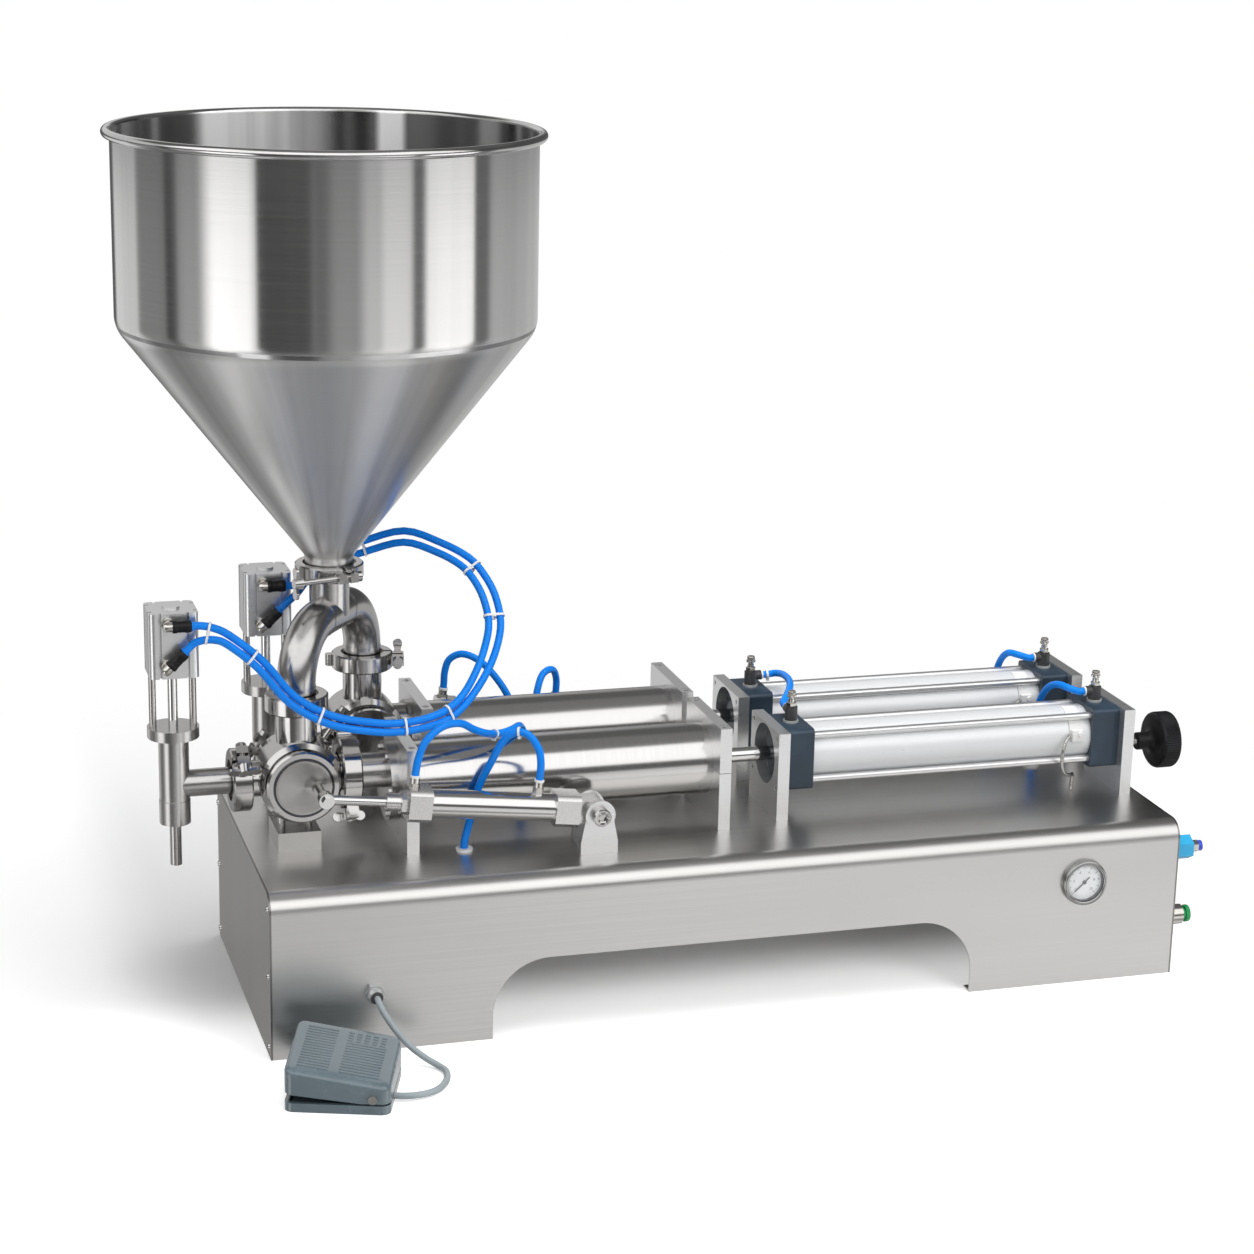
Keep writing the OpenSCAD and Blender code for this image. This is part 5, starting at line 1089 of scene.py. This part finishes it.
for side, pin in (("front", front_pin), ("rear", rear_pin)):
    name = side + "_actuator_finish"
    finishes[name] = switched(name, plate_look, (on_tube, steel_look), (on_unions, nickel_look),
        at=[v * mm for v in pin], turn=(0, tilt, 0))
f = Finish("gauge_window")
finishes["gauge_window"] = f.surface((0.9, 0.95, 1.0), 0.05 + 0.05 * f.noise(40), 0.0, alpha=0.1)
print("finishes", len(finishes))

# %% [markdown]
# Every finish is made once. A CAD node takes the one that its piece of the machine has in
# the picture, and the pieces made above take the ones that they were kept with.

# %% Give the CAD nodes their finish
by_slot = {"cabinet_steel": "base_cover", "end_steel": "end_panels", "hopper_steel": "hopper",
    "barrel_steel": "product_barrels",
    "satin_steel": "manifold barrel_heads nozzle_bodies valve_supports",
    "polished_steel": """panel_screws rod_bushes hopper_clamp valve_clamps
        front_valve_body rear_valve_body gauge_case stroke_stop stroke_handwheel""",
    "rod_steel": """front_piston_rod rear_piston_rod front_actuator_rod rear_actuator_rod
        front_nozzle_plunger rear_nozzle_plunger""",
    "turned_face": "front_valve_core rear_valve_core",
    "aluminium": """tie_rods control_valves barrel_cradles barrel_caps air_plates
        nozzle_cylinders actuator_brackets""",
    "front_actuator_finish": "front_valve_actuator", "rear_actuator_finish": "rear_valve_actuator",
    "air_barrel": "air_barrels", "navy_paint": "air_caps",
    "piston_plastic": "front_pistons rear_pistons",
    "black_rubber": "front_piston_seals rear_piston_seals", "controllers": "flow_controllers",
    "nickel": """front_left_knob front_right_knob rear_left_knob rear_right_knob button_collar
        nozzle_fittings pedal_pin""",
    "black_plastic": "gauge_needle", "gauge_window": "gauge_glass", "inlet_fitting": "air_inlet",
    "button_green": "start_button", "pedal_grey": "pedal_base pedal_cover",
    "glands": "cable_glands", "light_plastic": "position_sensors", "cord_grey": "pedal_cord",
    "hose_blue": "nozzle_hoses actuator_hoses cylinder_hoses"}
for finish, nodes in by_slot.items():
    for node in nodes.split():
        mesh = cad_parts[node].data
        mesh.materials.clear()
        mesh.materials.append(finishes[finish])
for name, look in looks.items():
    bpy.data.objects[name].data.materials.append(finishes[look])
print("dressed", sum(len(n.split()) for n in by_slot.values()), "nodes and", len(looks), "pieces")

# %% [markdown]
# ## Studio
# The floor is a pale disc that turns pure white towards its rim, so that it has no edge
# in the picture but keeps the shadow. The world is white to the camera. Polished steel
# only looks like steel when it has something to mirror, so mirror rays see another room:
# light and dark bands below the horizon and a dark ceiling, as in a studio with black
# flags. Most mirror rays pass through the floor, so that it doesn't hide those bands.

# %% Floor
sides, floor_at, floor_r, below = 96, (-0.1, -0.05), 1.3, 0.0004
a = np.linspace(0, 2 * np.pi, sides, endpoint=False)
circle = np.stack([np.cos(a), np.sin(a), 0 * a], -1)
disc = np.linspace(0, floor_r, 14)[:, None, None] * circle + [*floor_at, -below]
i, j = np.meshgrid(np.arange(1, len(disc) - 1), np.arange(sides), indexing="ij")
beside = (j + 1) % sides
corners = (i * sides + j, (i + 1) * sides + j, (i + 1) * sides + beside, i * sides + beside)
faces = np.stack(corners, -1).reshape(-1, 4).tolist() + [list(range(sides, 2 * sides))]
floor_mesh = bpy.data.meshes.new("floor")
floor_mesh.from_pydata(disc.reshape(-1, 3).tolist(), [], faces)
floor = bpy.data.objects.new("floor", floor_mesh)
bpy.context.scene.collection.objects.link(floor)
f = Finish("floor_paper")
x, y, _ = f.axes(at=(*floor_at, 0))
rim = f.span(x.far(y), 0.75, 1.25)
seen, mirrored = f.rays("Camera", "Glossy")
fibres = f.mix(f.noise(300), (0.87, 0.87, 0.87), (0.89, 0.89, 0.89))
paper = f.node("BsdfDiffuse", {"Color": fibres})
# Painted light: emission makes the paper in front of the machine and to its left brighter than
# under it
painted_floor_light = f.span(y, 0.07, -0.08, (0.0, 0.45)) + f.span(x, -0.44, -0.56, (0.0, 0.2))
lift = f.node("Emission", {"Strength": seen * painted_floor_light + 0.02})
pure = f.node("Emission", {"Strength": 0.3 + 0.7 * seen})
ground = f.node("MixShader", {0: rim, 1: f.node("AddShader", {0: paper, 1: lift}), 2: pure})
white = (1, 1, 1, 1)
clear = f.node("BsdfTransparent", {"Color": white})
floor_look = f.node("MixShader", {0: mirrored * 0.8, 1: ground, 2: clear})
floor_mesh.materials.append(f.end(floor_look))
print("floor", len(faces), "faces")

# %% [markdown]
# The room is a function of the direction of a ray. Its bearing picks one of the upright
# bands: black flags, grey card, windows and soft boxes. The camera looks down a little, and
# so do the rays that upright steel mirrors, so the bands count below the horizon. Other
# heights are put over them one after the other: the room's floor, the dark above the
# horizon, the far wall, a soft box over the camera and the ceiling.

# %% World
w = Finish("studio", world=True)
ray = w.node("TexCoord", {}, out="Generated")
is_camera, is_glossy, is_clear = w.rays("Camera", "Glossy", "Transmission")
across, near, height = (
    w.node("VectorMath", {0: ray, 1: way}, out="Value", operation="DOT_PRODUCT")
    for way in ((0.958, -0.287, 0), (-0.287, -0.958, 0), (0, 0, 1)))
bearing = across.maths("ARCTAN2", across, near) * (180 / math.pi)
room = w.bands(bearing, 0.42, ((-160, 14, 0.12, 8), (-132, 18, 0.85, 8), (-101, 12, 0.3, 8),
    (-84, 5, 0.1, 5), (-70, 9, 0.5, 12), (-46, 15, 1.9, 12), (-16, 15, 0.1, 3), (4, 6, 0.2, 9),
    (20, 11, 0.42, 12), (30, 5, 0.85, 8), (44, 9, 1.15, 6), (56.5, 3.5, 0.22, 3),
    (76, 16, 1.8, 5), (98, 6, 0.22, 3), (142, 38, 0.62, 8)))
ahead = w.span(near, -0.05, 0.1)
behind = 1 - ahead
upper_wall = w.span(height, 0.2, 0.3) * w.span(height, 0.93, 0.86)
for value, where in (
        (0.22, w.span(height, -0.45, -0.6)),  # the room's floor
        (0.8, w.span(height, -0.78, -0.85) * w.span(abs(across), 0.22, 0.32)),  # its bright sides
        (0.12, w.span(height, -0.14, -0.06)),  # all above the horizon is dark
        (w.span(across, -0.16, 0.14, (0.7, 0.1)), w.span(height, 0.04, 0.1) * behind),  # far wall
        (0.14, w.span(height, 0.45, 0.6) * behind),  # the far wall's upper part
        (1.55, upper_wall * ahead),  # the soft box over the camera
        (0.24, w.span(height, 0.86, 0.93))):  # the ceiling
    room = room.to(value, where)
mirrored = w.node("Background", {"Color": white, "Strength": room})
brightness = 0.4 + 0.6 * (is_camera + is_clear)
plain = w.node("Background", {"Color": white, "Strength": brightness})
bpy.context.scene.world = w.end(w.node("MixShader", {0: is_glossy, 1: plain, 2: mirrored}))
print("room", len(w.tree.nodes), "nodes")

# %% [markdown]
# Three soft lamps light the matt surfaces and cast the shadow. Polished steel doesn't
# mirror them, since the room's bands already give it all that it shows.

# %% Lamps
def lamp(name, at, aim, size, watts):
    """A square soft lamp at a place, aimed at a point."""
    data = bpy.data.lights.new(name, "AREA")
    data.energy, data.size = watts, size
    obj = bpy.data.objects.new(name, data)
    bpy.context.scene.collection.objects.link(obj)
    obj.location = at
    obj.rotation_euler = (Vector(aim) - Vector(at)).to_track_quat("-Z", "Y").to_euler()
    obj.visible_glossy = False


lamp("overhead", (0.2, -0.3, 3.0), (0, 0, 0), 2.4, 84)
lamp("front", (1.2, -2.6, 1.5), (0, 0, 0.3), 1.4, 32)
lamp("left", (-2.6, -1.6, 1.6), (-0.3, 0, 0.3), 1.2, 9)
bpy.context.scene.view_settings.view_transform = "Standard"
print("lamps", len(bpy.data.lights))
